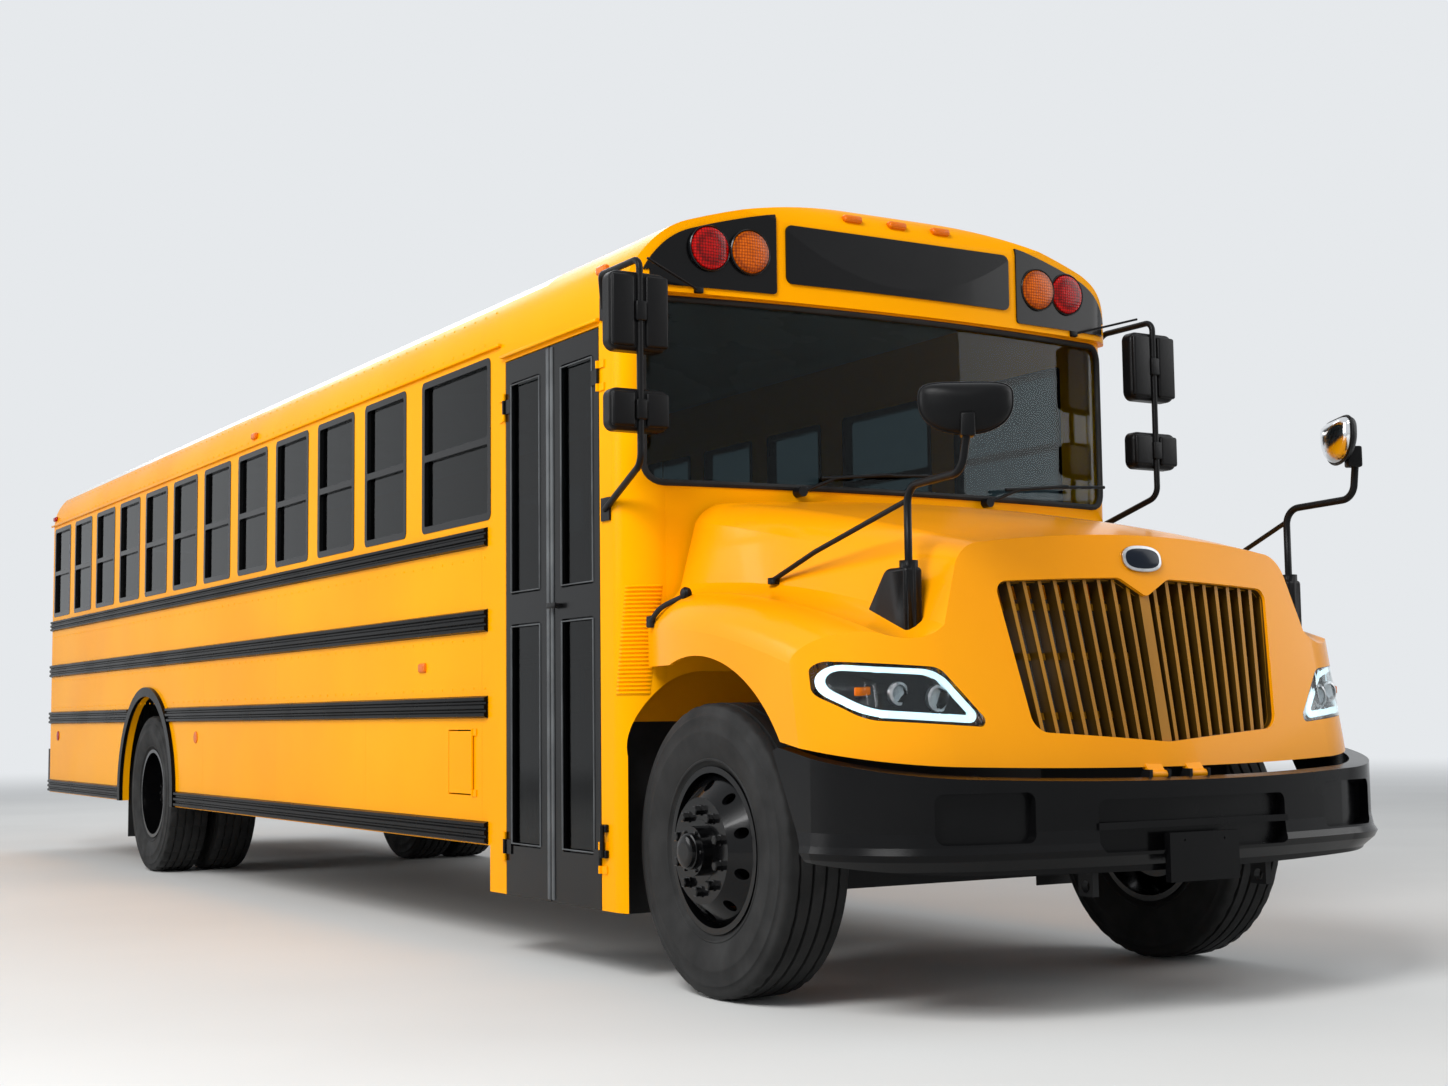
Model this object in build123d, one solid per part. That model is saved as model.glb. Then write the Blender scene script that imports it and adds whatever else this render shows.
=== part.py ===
from build123d import *
from math import atan2, cos, hypot, pi, radians, sin, sqrt
import os

# Overall layout, millimetres: +Z up, the nose points to -Y, +X is the driver's side
WHEELBASE = 7420
BODY_WIDTH = 2438
BODY_REAR = 10508
FRONT_OVERHANG = 1270
REAR_BUMPER_DEPTH = 120
GAP = 0.3
RUNNING_GAP = 6
MIRROR_Y = -1192
MIRROR_RADII = (52, 155, 86)
MIRROR_TURN = -59
MIRROR_HALF_DEPTH = hypot(MIRROR_RADII[0] * sin(radians(MIRROR_TURN)), MIRROR_RADII[1] * cos(radians(MIRROR_TURN)))
FRONT_REACH = MIRROR_HALF_DEPTH - MIRROR_Y
REAR_REACH = BODY_REAR + GAP + REAR_BUMPER_DEPTH
FRONT_AXLE = (FRONT_REACH - REAR_REACH) / 2
REAR_AXLE = FRONT_AXLE + WHEELBASE
HALF = BODY_WIDTH / 2

# Body shell
WALL = 45
SKIRT_Z = 456
EAVE_Z = 2600
ROOF_TOP = 3067
EAVE_RADIUS = 330
ROOF_PANEL_EDGE_Z = 2830
FLOOR_TOP = 1020
FLOOR_THICKNESS = 40
SILL_FIRST = 1750
SILL_PITCH = 640
SILL_COUNT = 14
SILL_HALF = 25
SIDE_FRONT = 560
CAP_REAR = 1350
REAR_CAP_DEPTH = 77
REAR_CAP_RADIUS = 75

# Front wall and windscreen
FACE_CENTRE = 360
FACE_CORNER = 445
CORNER_RADIUS = 150
FACE_FOOT_Z = 1170
SCREEN_SILL_Z = 1895
SCREEN_HEAD_Z = 2605
CAP_FOOT_Z = 2628
SCREEN_SIDE = 75
GLASS = 6

# Side windows
WINDOW_PITCH = 711
WINDOW_COUNT = 11
FIRST_PILLAR = 2641
WINDOW_WIDTH = 556
FRONT_WINDOW_WIDTH = 785
FRONT_WINDOW_CENTRE = 2125
WINDOW_SILL_Z = 1862
WINDOW_HEAD_Z = 2578
WINDOW_CORNER = 30
SASH = 32
DRIVER_WINDOW_WIDTH = 800
DRIVER_WINDOW_CENTRE = 1150

# Service door
DOOR_FRONT = 700
DOOR_REAR = 1580
DOOR_SILL_Z = 262
DOOR_HEAD_Z = 2530
DOOR_THICKNESS = 40
DOOR_STILE = 50
DOOR_EDGE = 6
DOOR_MEETING_GAP = 5.5
DOOR_MEETING_STILE = 92
DOOR_GLASS_BANDS = ((467, 1394), (1520, 2428))
DOOR_HINGE_Z = (DOOR_SILL_Z + 200, DOOR_HEAD_Z - 200)
STEP_COUNT = 3
STEP_DEPTH = 238

# Rails along the sides
RAIL_PROUD = 20
RAIL_FRONT = 1765
RAILS = ((1749, 1832, False), (1375, 1475, False), (1001, 1098, True), (460, 557, True))
ARCH_RADIUS = 660
ARCH_TRIM = 58

# Tyres, wheels and tracks
TYRE_RADIUS = 523
TYRE_WIDTH = 279
RIM_RADIUS = 298
FRONT_TRACK = 2050
DUAL_INNER_X = 740
DUAL_OUTER_X = 1065
KINGPIN_X = 890
WHEEL_OFFSET = 162.5
DRUM_RADIUS = 200
DISC_HOLE = 110
DISC_THICKNESS = 14
HUB_RADIUS = 88

# Hood
HOOD_REAR = 440
HOOD_SEAM = 25
HOOD_WALL = 12
HOOD_FOOT_Z = 815
HOOD_FOOT_RISE = 0.1757
RAKE = 10.4
NOSE_CENTRE = -1112
FENDER_TIP_Z = 1185
WHEEL_ARCH = 690
PIVOT_Y = -1150
PIVOT_Z = 785
PIVOT_X = 90
EAR_HALF = 35
EAR_RADIUS = 16

# Wipers
WIPER_X = (-510, 420)
WIPER_Z = 1872

# Grille
GRILLE_TOP_Z = 1462
GRILLE_TOP_X = 622
GRILLE_FOOT_Z = 940
GRILLE_FOOT_X = 548
NOTCH_HALF = 112
NOTCH_Z = 1396
FIN_COUNT = 9
FIN_WIDTH = 15
FIN_DEPTH = 48

# Bumpers
BUMPER_TOP_Z = 770
BUMPER_FOOT_Z = 472
BUMPER_WALL = 60
BUMPER_SECTION = (
    # z, how far the face stands in from the plan
    (400, 44),
    (500, 32),
    (534, 3),
    (556, -5),
    (578, 5),
    (620, 10),
    (1000, 10),
)
REAR_BUMPER_TOP_Z = 800
REAR_BUMPER_FOOT_Z = 545

# Hinge knuckles
STRAP_THICKNESS = 6
KNUCKLE_RADIUS = 7
KNUCKLE_HALF = 30

# Emergency door in the rear wall
EXIT_WIDTH = 940
EXIT_SILL_Z = 1040
EXIT_HEAD_Z = 2440
EXIT_THICKNESS = 40
EXIT_HINGE_X = -EXIT_WIDTH / 2 - RUNNING_GAP
EXIT_HINGE_Z = (EXIT_SILL_Z + 180, (EXIT_SILL_Z + EXIT_HEAD_Z) / 2, EXIT_HEAD_Z - 180)

# Roof hatches
HATCH_SIZE = 560
HATCH_PLACES = {"front": 3350, "rear": 8350}
HATCH_BAR_RADIUS = 10
HATCH_BAR_HALF = 240
HATCH_HINGE = 14

# Stop arm and fuel flap
STOP_HINGE = 1800
STOP_ACROSS = 450
STOP_Z = 1600
STOP_BARREL_HALF = 60
FLAP_FRONT = 1925
FLAP_WIDTH = 270
FLAP_Z = 670
FLAP_HEIGHT = 275
FLAP_THICKNESS = 25
FLAP_KNUCKLE = 5.7

# Tow eyes and plate holes
TOW_EYE_RADIUS = 20
TOW_EYE_X = 390
TOW_EYE_Y = -1135
TOW_EYE_Z = 432
PLATE_HOLE_RADIUS = 3.5
PLATE_HOLE_SPACING = 178
PLATE_HOLE_Z = 575

# Seats
SEAT_ROWS = 12
SEAT_FIRST = 2500
SEAT_WIDTH = 960
SEAT_BACK_TOP = 1080
SEAT_Z = 1450
WHEEL_BOX_HEIGHT = 190
WHEEL_BOX_HALF = 640
WHEEL_BOX_INNER = 560
PLATE = 25
LEG_WIDTH = 40

# Steering wheel
STEER_X = 630
STEER_Y = 1180
STEER_Z = 1740
STEER_TILT = 35

# Chassis
FRAME_HALF = 430
FRAME_HEIGHT = 255
FRAME_FLANGE = 80
FRAME_WEB = 10
FRAME_TOP_Z = 905
CROSS_MEMBERS = (-760, 2300, 4200, 6100, 8900, 10350)
ENGINE_REAR = 260
AXLE_Z = TYRE_RADIUS


def at(y):
    """A place measured rearward from the front axle, in the part's own frame."""
    return FRONT_AXLE + y


def block(x0, x1, y0, y1, z0, z1):
    """A plain block between two corners; y is measured from the front axle."""
    size = Box(x1 - x0, y1 - y0, z1 - z0)
    return Pos((x0 + x1) / 2, at((y0 + y1) / 2), (z0 + z1) / 2) * size


def side_prism(outline, x0, x1):
    """Extrude a closed side outline of (y, z) wires or points between two x."""
    plane = Plane(origin=(x0, FRONT_AXLE, 0), x_dir=(0, 1, 0), z_dir=(1, 0, 0))
    return extrude(plane * make_face(outline), amount=x1 - x0)


def front_prism(outline, y0, y1):
    """Extrude a closed front outline of (x, z) between two y."""
    plane = Plane(origin=(0, at(y1), 0), x_dir=(1, 0, 0), z_dir=(0, -1, 0))
    return extrude(plane * make_face(outline), amount=y1 - y0)


def plan_prism(outline, z0, z1):
    """Extrude a closed plan outline of (x, y) between two z."""
    plane = Plane(origin=(0, FRONT_AXLE, z0), x_dir=(1, 0, 0), z_dir=(0, 0, 1))
    return extrude(plane * make_face(outline), amount=z1 - z0)


def rounded(points, radius):
    return FilletPolyline(*points, radius=radius, close=True)


def rounded_window(u0, u1, z0, z1, radius):
    return rounded([(u0, z0), (u1, z0), (u1, z1), (u0, z1)], radius)


def polygon(points):
    return Polyline(*points, close=True)


def cylinder_x(radius, x0, x1, y, z):
    spin = Pos((x0 + x1) / 2, at(y), z) * Rot(0, 90, 0)
    return spin * Cylinder(radius, x1 - x0)


def cylinder_y(radius, y0, y1, x, z):
    spin = Pos(x, at((y0 + y1) / 2), z) * Rot(90, 0, 0)
    return spin * Cylinder(radius, y1 - y0)


def cylinder_z(radius, z0, z1, x, y):
    return Pos(x, at(y), (z0 + z1) / 2) * Cylinder(radius, z1 - z0)


def tube_along(points, radius, bend):
    """A round bar along straight runs with arcs at the corners."""
    path = FilletPolyline(*[(x, at(y), z) for x, y, z in points], radius=bend)
    start = path @ 0
    section = Plane(origin=start, z_dir=path % 0) * Circle(radius)
    return sweep(section, path=path)


def other_side(shape):
    return mirror(shape, about=Plane.YZ)


def both_sides(shape):
    return [shape, other_side(shape)]


def one_solid(shapes):
    result = shapes[0]
    for shape in shapes[1:]:
        result = result + shape
    return result


def body_section(inset, foot_z):
    """The body's outline across: upright sides, eave arcs and a crowned roof."""
    eave = EAVE_RADIUS
    centre_x = HALF - eave
    drop = EAVE_Z - ROOF_TOP
    crown = (eave ** 2 - centre_x ** 2 - drop ** 2) / (2 * (drop + eave))
    crown_centre = ROOF_TOP - crown
    lean = atan2(centre_x, EAVE_Z - crown_centre)
    side = HALF - inset
    meet_x = (crown - inset) * sin(lean)
    meet_z = crown_centre + (crown - inset) * cos(lean)
    half_turn = (pi / 2 - lean) / 2
    mid_x = centre_x + (eave - inset) * cos(half_turn)
    mid_z = EAVE_Z + (eave - inset) * sin(half_turn)
    return (
        Line((-side, foot_z), (side, foot_z))
        + Line((side, foot_z), (side, EAVE_Z))
        + ThreePointArc((side, EAVE_Z), (mid_x, mid_z), (meet_x, meet_z))
        + ThreePointArc((meet_x, meet_z), (0, ROOF_TOP - inset), (-meet_x, meet_z))
        + ThreePointArc((-meet_x, meet_z), (-mid_x, mid_z), (-side, EAVE_Z))
        + Line((-side, EAVE_Z), (-side, foot_z))
    )


def face_plan(inset, rear):
    """The body's front in plan: a bowed face that rounds into both sides."""
    side = HALF - inset
    corner_x = HALF - CORNER_RADIUS
    face = FACE_CORNER + inset
    start = face + (CORNER_RADIUS - inset)
    turn = sqrt(0.5) * (CORNER_RADIUS - inset)
    mid_x = corner_x + turn
    mid_y = start - turn
    return (
        Line((-side, rear), (side, rear))
        + Line((side, rear), (side, start))
        + ThreePointArc((side, start), (mid_x, mid_y), (corner_x, face))
        + ThreePointArc((corner_x, face), (0, FACE_CENTRE + inset), (-corner_x, face))
        + ThreePointArc((-corner_x, face), (-mid_x, mid_y), (-side, start))
        + Line((-side, start), (-side, rear))
    )


def body_ring(y0, y1, foot_z):
    outer = front_prism(body_section(0, foot_z), y0, y1)
    inner = front_prism(body_section(WALL, foot_z - 10), y0 - 10, y1 + 10)
    return outer - inner


def window_spans():
    """Every window of one side from front to rear, as (y0, y1)."""
    spans = [(FRONT_WINDOW_CENTRE - FRONT_WINDOW_WIDTH / 2, FRONT_WINDOW_CENTRE + FRONT_WINDOW_WIDTH / 2)]
    for number in range(WINDOW_COUNT):
        centre = FIRST_PILLAR + WINDOW_PITCH * (number + 0.5)
        spans.append((centre - WINDOW_WIDTH / 2, centre + WINDOW_WIDTH / 2))
    return spans


def driver_window_span():
    return (DRIVER_WINDOW_CENTRE - DRIVER_WINDOW_WIDTH / 2, DRIVER_WINDOW_CENTRE + DRIVER_WINDOW_WIDTH / 2)


def hinge_knuckles(x, y, z_places, toward):
    """The fixed halves of a door's hinges: a strap on the wall and a barrel above and below the leaf's."""
    pieces = []
    for z in z_places:
        below = (z - 2 * KNUCKLE_HALF, z - KNUCKLE_HALF - GAP)
        above = (z + KNUCKLE_HALF + GAP, z + 2 * KNUCKLE_HALF)
        for z0, z1 in (below, above):
            y0, y1 = sorted((y, y + toward * 50))
            pieces.append(block(x, x + STRAP_THICKNESS, y0, y1, z0, z1))
            pieces.append(cylinder_z(KNUCKLE_RADIUS, z0, z1, x - 2, y))
    return pieces


def side_wall(side):
    """One side of the body up to the white roof, with windows and wheel arch cut."""
    ring = body_ring(SIDE_FRONT + 40, BODY_REAR - REAR_CAP_DEPTH - GAP, SKIRT_Z)
    keep = block(0, HALF + 10, SIDE_FRONT, BODY_REAR, SKIRT_Z - 300, ROOF_PANEL_EDGE_Z)
    wall = ring & keep
    wall = wall - cylinder_x(ARCH_RADIUS, HALF - 200, HALF + 50, WHEELBASE, AXLE_Z)
    spans = window_spans()
    if side < 0:
        jamb = block(HALF - WALL, HALF, SIDE_FRONT + 40, RAIL_FRONT - 20, DOOR_SILL_Z, SKIRT_Z)
        wall = wall + jamb
    else:
        spans = spans + [driver_window_span()]
    for y0, y1 in spans:
        outline = rounded_window(y0, y1, WINDOW_SILL_Z, WINDOW_HEAD_Z, WINDOW_CORNER)
        wall = wall - side_prism(outline, HALF - 200, HALF + 50)
    if side > 0:
        for z0 in (STOP_Z - STOP_BARREL_HALF - GAP - 20, STOP_Z + STOP_BARREL_HALF + GAP):
            wall = wall + block(HALF - 5, HALF + 41, STOP_HINGE - 14, STOP_HINGE + 14, z0, z0 + 20)
        return wall
    doorway = block(HALF - 200, HALF + 10, DOOR_FRONT, DOOR_REAR, DOOR_SILL_Z - 10, DOOR_HEAD_Z)
    flap = block(HALF - 200, HALF + 10, FLAP_FRONT - RUNNING_GAP, FLAP_FRONT + FLAP_WIDTH + RUNNING_GAP,
                 FLAP_Z - RUNNING_GAP, FLAP_Z + FLAP_HEIGHT + RUNNING_GAP)
    wall = other_side(wall - doorway - flap)
    for z0, z1 in ((FLAP_Z - 10, FLAP_Z + 20 - GAP), (FLAP_Z + FLAP_HEIGHT - 20 + GAP, FLAP_Z + FLAP_HEIGHT + 10)):
        wall = wall + block(-HALF - FLAP_KNUCKLE, -HALF + 1, FLAP_FRONT - 40, FLAP_FRONT - 1, z0, z1)
        wall = wall + cylinder_z(FLAP_KNUCKLE, z0, z1, -HALF - FLAP_KNUCKLE - GAP, FLAP_FRONT - 1 + GAP)
    for y, toward in ((DOOR_FRONT, -1), (DOOR_REAR, 1)):
        for piece in hinge_knuckles(-HALF - STRAP_THICKNESS, y, DOOR_HINGE_Z, toward):
            wall = wall + piece
    return wall


def window_units():
    """Black sash frames and their panes: a fixed upper and a lower light in each."""
    frames = []
    panes = []
    middle = (WINDOW_SILL_Z + WINDOW_HEAD_Z) / 2 - 6
    for side in (-1, 1):
        spans = window_spans()
        if side > 0:
            spans = spans + [driver_window_span()]
        for y0, y1 in spans:
            outer = rounded_window(y0 + GAP, y1 - GAP, WINDOW_SILL_Z + GAP, WINDOW_HEAD_Z - GAP, WINDOW_CORNER)
            frame = side_prism(outer, HALF - WALL, HALF + 3)
            for z0, z1 in ((WINDOW_SILL_Z + SASH, middle - SASH / 2), (middle + SASH / 2, WINDOW_HEAD_Z - SASH)):
                light = rounded_window(y0 + SASH, y1 - SASH, z0, z1, 12)
                frame = frame - side_prism(light, HALF - WALL - 5, HALF + 10)
                pane = rounded_window(y0 + SASH + GAP, y1 - SASH - GAP, z0 + GAP, z1 - GAP, 11)
                solid = side_prism(pane, HALF - 24, HALF - 24 + GLASS)
                panes.append(solid if side > 0 else other_side(solid))
            frames.append(frame if side > 0 else other_side(frame))
    return frames, panes


def hatch_openings(clearance):
    half = HATCH_SIZE / 2 + clearance
    return [block(-half, half, y - half, y + half, EAVE_Z, ROOF_TOP + 100) for y in HATCH_PLACES.values()]


def roof_panel():
    """The white roof with two hatch openings and the lugs that carry the hatches' hinge bars."""
    ring = body_ring(CAP_REAR + GAP, BODY_REAR - REAR_CAP_DEPTH - GAP, SKIRT_Z)
    top = block(-HALF, HALF, CAP_REAR, BODY_REAR, ROOF_PANEL_EDGE_Z + GAP, ROOF_TOP + 10)
    roof = ring & top
    for opening in hatch_openings(RUNNING_GAP):
        roof = roof - opening
    for y in HATCH_PLACES.values():
        hinge_y = y - HATCH_SIZE / 2 - HATCH_HINGE
        lug = block(HATCH_BAR_HALF + GAP, HATCH_BAR_HALF + 20, hinge_y - 12, hinge_y + 8,
                    ROOF_TOP - 30, ROOF_TOP + 22)
        roof = roof + lug + other_side(lug)
    return roof


def cap_form(inset):
    """The roof's section with a bowed, leaning face, as a closed form."""
    section = front_prism(body_section(inset, CAP_FOOT_Z - 200), FACE_CENTRE - 80, CAP_REAR)
    side = HALF + 20
    flank = FACE_CORNER + 110
    near = HALF - 160
    face = FACE_CORNER - 40
    bow = (
        Line((-side, CAP_REAR), (side, CAP_REAR))
        + Line((side, CAP_REAR), (side, flank))
        + ThreePointArc((side, flank), (HALF - 45, FACE_CORNER + 8), (near, face))
        + ThreePointArc((near, face), (0, FACE_CENTRE - 20), (-near, face))
        + ThreePointArc((-near, face), (45 - HALF, FACE_CORNER + 8), (-side, flank))
        + Line((-side, flank), (-side, CAP_REAR))
    )
    plan = Pos(0, inset, 0) * plan_prism(bow, CAP_FOOT_Z, ROOF_TOP + 20)
    nose = FACE_CENTRE - 30 + inset
    top = ROOF_TOP - inset
    profile = (
        Line((CAP_REAR, CAP_FOOT_Z), (nose, CAP_FOOT_Z))
        + Line((nose, CAP_FOOT_Z), (nose + 32, top - 120))
        + ThreePointArc((nose + 32, top - 120), (nose + 75, top - 40), (nose + 190, top))
        + Line((nose + 190, top), (CAP_REAR, top))
        + Line((CAP_REAR, top), (CAP_REAR, CAP_FOOT_Z))
    )
    return section & plan & side_prism(profile, -HALF - 30, HALF + 30)


def front_roof_cap(outer):
    """The yellow cap over the windscreen, hollow, from the eaves to the white roof."""
    inner = cap_form(WALL)
    cap = outer - inner - Pos(0, 10, 0) * inner - Pos(0, 0, -10) * inner
    for x0, x1 in ((-HALF - 5, 900 - HALF), (HALF - 900, HALF + 5)):
        cap = cap - block(x0, x1, SIDE_FRONT + 40 - GAP, CAP_REAR + 5, EAVE_Z, ROOF_PANEL_EDGE_Z + GAP)
    return cap


def front_wall():
    """The bowed face under and beside the windscreen, with its rounded corners."""
    rear = SIDE_FRONT + 40 - GAP
    outer = plan_prism(face_plan(0, rear), DOOR_SILL_Z, CAP_FOOT_Z - GAP)
    inner = plan_prism(face_plan(WALL, rear + 10), DOOR_SILL_Z - 10, CAP_FOOT_Z + 10)
    wall = outer - inner
    screen = rounded_window(-HALF + SCREEN_SIDE, HALF - SCREEN_SIDE, SCREEN_SILL_Z, SCREEN_HEAD_Z, 60)
    wall = wall - front_prism(screen, 0, rear + 100)
    under = (
        Line((-HALF + 20, DOOR_SILL_Z - 20), (HALF - 20, DOOR_SILL_Z - 20))
        + Line((HALF - 20, DOOR_SILL_Z - 20), (HALF - 20, 850))
        + ThreePointArc((HALF - 20, 850), (HALF - 110, FACE_FOOT_Z - 75), (HALF - 320, FACE_FOOT_Z))
        + Line((HALF - 320, FACE_FOOT_Z), (320 - HALF, FACE_FOOT_Z))
        + ThreePointArc((320 - HALF, FACE_FOOT_Z), (110 - HALF, FACE_FOOT_Z - 75), (20 - HALF, 850))
        + Line((20 - HALF, 850), (20 - HALF, DOOR_SILL_Z - 20))
    )
    wall = wall - front_prism(under, 0, rear + 100)
    driver_foot = block(0, HALF + 10, 0, rear + 10, DOOR_SILL_Z - 10, SKIRT_Z)
    return wall - driver_foot


def windscreen():
    outer = plan_prism(face_plan(14, SIDE_FRONT + 40), SCREEN_SILL_Z, SCREEN_HEAD_Z)
    inner = plan_prism(face_plan(14 + GLASS, SIDE_FRONT + 60), SCREEN_SILL_Z - 5, SCREEN_HEAD_Z + 5)
    pane = rounded_window(-HALF + SCREEN_SIDE + GAP, HALF - SCREEN_SIDE - GAP,
                          SCREEN_SILL_Z + GAP, SCREEN_HEAD_Z - GAP, 60)
    return (outer - inner) & front_prism(pane, 0, SIDE_FRONT + 100)


def rear_wall():
    """The rear end, rounded into the sides and roof, with the emergency doorway and two windows."""
    wall = front_prism(body_section(0, SKIRT_Z), BODY_REAR - REAR_CAP_DEPTH, BODY_REAR)
    rim_edges = [edge for edge in wall.edges().group_by(Axis.Y)[-1] if (edge @ 0.5).Z > SKIRT_Z + 1]
    wall = fillet(rim_edges, REAR_CAP_RADIUS)
    wall = wall - front_prism(body_section(WALL, SKIRT_Z - 10), BODY_REAR - REAR_CAP_DEPTH - 10, BODY_REAR - WALL)
    doorway = block(-EXIT_WIDTH / 2 - RUNNING_GAP, EXIT_WIDTH / 2 + RUNNING_GAP, BODY_REAR - 100, BODY_REAR + 10,
                    EXIT_SILL_Z - RUNNING_GAP, EXIT_HEAD_Z + RUNNING_GAP)
    wall = wall - doorway
    for outline in rear_window_outlines(0):
        wall = wall - front_prism(outline, BODY_REAR - 100, BODY_REAR + 10)
    for z in EXIT_HINGE_Z:
        for z0, z1 in ((z - 55, z - KNUCKLE_HALF - GAP), (z + KNUCKLE_HALF + GAP, z + 55)):
            wall = wall + block(EXIT_HINGE_X - 70, EXIT_HINGE_X, BODY_REAR, BODY_REAR + 11, z0, z1)
            wall = wall + cylinder_z(9, z0, z1, EXIT_HINGE_X, BODY_REAR + 11)
    return wall


def rear_window_outlines(inset):
    x0 = EXIT_WIDTH / 2 + 90 + inset
    x1 = HALF - 130 - inset
    z0 = WINDOW_SILL_Z - 40 + inset
    z1 = WINDOW_HEAD_Z - 130 - inset
    return [rounded_window(x0, x1, z0, z1, 40), rounded_window(-x1, -x0, z0, z1, 40)]


def floor_sheets():
    """The floor in flat sheets round the entrance and the wheel boxes, and the toe board."""
    side = HALF - WALL - GAP
    front = SIDE_FRONT + 60
    base_z = FLOOR_TOP - FLOOR_THICKNESS
    well_front = DOOR_FRONT + 5 - PLATE
    well_rear = DOOR_REAR - 5 + PLATE
    well_inner = -side + STEP_COUNT * STEP_DEPTH + GAP
    box_front = WHEELBASE - WHEEL_BOX_HALF
    box_rear = WHEELBASE + WHEEL_BOX_HALF
    between = WHEEL_BOX_INNER - GAP
    return [
        block(-side, side, front, well_front - GAP, base_z, FLOOR_TOP),
        block(well_inner, side, well_front, well_rear, base_z, FLOOR_TOP),
        block(-side, side, well_rear + GAP, box_front - GAP, base_z, FLOOR_TOP),
        block(-between, between, box_front, box_rear, base_z, FLOOR_TOP),
        block(-side, side, box_rear + GAP, BODY_REAR - WALL - GAP, base_z, FLOOR_TOP),
        block(-side, side, SIDE_FRONT + 30, front - GAP, base_z, FACE_FOOT_Z + 60),
    ]


def wheel_boxes():
    """A raised box over each pair of rear tyres: top, inner side and two ends, open outwards."""
    side = HALF - WALL - GAP
    base_z = FLOOR_TOP - FLOOR_THICKNESS
    top = FLOOR_TOP + WHEEL_BOX_HEIGHT
    under = top - PLATE - GAP
    box_front = WHEELBASE - WHEEL_BOX_HALF
    box_rear = WHEELBASE + WHEEL_BOX_HALF
    wall = WHEEL_BOX_INNER + PLATE
    plates = [
        block(WHEEL_BOX_INNER, side, box_front, box_rear, top - PLATE, top),
        block(WHEEL_BOX_INNER, wall, box_front, box_rear, base_z, under),
        block(wall + GAP, side, box_front, box_front + PLATE, base_z, under),
        block(wall + GAP, side, box_rear - PLATE, box_rear, base_z, under),
    ]
    return plates + [other_side(plate) for plate in plates]


def entrance_steps():
    """Treads, risers and the two cheeks of the stairwell behind the service door."""
    side = HALF - WALL - GAP
    well_front = DOOR_FRONT + 5
    well_rear = DOOR_REAR - 5
    well_inner = -side + STEP_COUNT * STEP_DEPTH
    first = DOOR_SILL_Z + 45
    rise = (FLOOR_TOP - first) / STEP_COUNT
    plates = []
    for step in range(STEP_COUNT):
        x0 = -side + step * STEP_DEPTH
        x1 = x0 + STEP_DEPTH
        top = first + rise * step
        plates.append(block(x0 + GAP, x1 - PLATE - GAP, well_front + GAP, well_rear - GAP, top - PLATE, top))
        plates.append(block(x1 - PLATE, x1, well_front + GAP, well_rear - GAP, top - PLATE, top + rise))
    foot = DOOR_SILL_Z + 20
    cheek = polygon([(-side, foot), (-side, FLOOR_TOP), (well_inner, FLOOR_TOP), (well_inner, FLOOR_TOP - rise),
                     (-side + STEP_DEPTH, foot)])
    plates.append(front_prism(cheek, well_front - PLATE, well_front))
    plates.append(front_prism(cheek, well_rear, well_rear + PLATE))
    return plates


def floor_sills():
    """Cross sills that carry the floor on the frame, left out over the rear wheels."""
    side = HALF - WALL - GAP
    foot = FRAME_TOP_Z + GAP
    top = FLOOR_TOP - FLOOR_THICKNESS - GAP
    places = [SILL_FIRST + number * SILL_PITCH for number in range(SILL_COUNT)]
    kept = [y for y in places if abs(y - WHEELBASE) > WHEEL_BOX_HALF - 20]
    return [block(-side, side, y - SILL_HALF, y + SILL_HALF, foot, top) for y in kept]


def door_leaf(front):
    """One glazed leaf of the service door: outer stile at its hinge, wide meeting stile."""
    middle = (DOOR_FRONT + DOOR_REAR) / 2
    x0 = -HALF
    x1 = -HALF + DOOR_THICKNESS
    if front:
        y0, y1 = DOOR_FRONT + DOOR_EDGE, middle - DOOR_MEETING_GAP
        g0, g1 = y0 + DOOR_STILE, y1 - DOOR_MEETING_STILE
        hinge_y, strap = DOOR_FRONT, (DOOR_FRONT, DOOR_FRONT + 60)
    else:
        y0, y1 = middle + DOOR_MEETING_GAP, DOOR_REAR - DOOR_EDGE
        g0, g1 = y0 + DOOR_MEETING_STILE, y1 - DOOR_STILE
        hinge_y, strap = DOOR_REAR, (DOOR_REAR - 60, DOOR_REAR)
    leaf = block(x0, x1, y0, y1, DOOR_SILL_Z, DOOR_HEAD_Z - DOOR_EDGE)
    glass = []
    for z0, z1 in DOOR_GLASS_BANDS:
        leaf = leaf - side_prism(rounded_window(g0, g1, z0, z1, 14), x0 - 5, x1 + 5)
        pane = rounded_window(g0 + GAP, g1 - GAP, z0 + GAP, z1 - GAP, 13)
        glass.append(side_prism(pane, x0 + 16, x0 + 16 + GLASS))
    hinge_x = x0 - STRAP_THICKNESS - 2
    for z in DOOR_HINGE_Z:
        leaf = leaf + block(x0 - STRAP_THICKNESS, x0, *strap, z - KNUCKLE_HALF, z + KNUCKLE_HALF)
        leaf = leaf + cylinder_z(KNUCKLE_RADIUS, z - KNUCKLE_HALF, z + KNUCKLE_HALF, hinge_x, hinge_y)
    return leaf, glass


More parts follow.
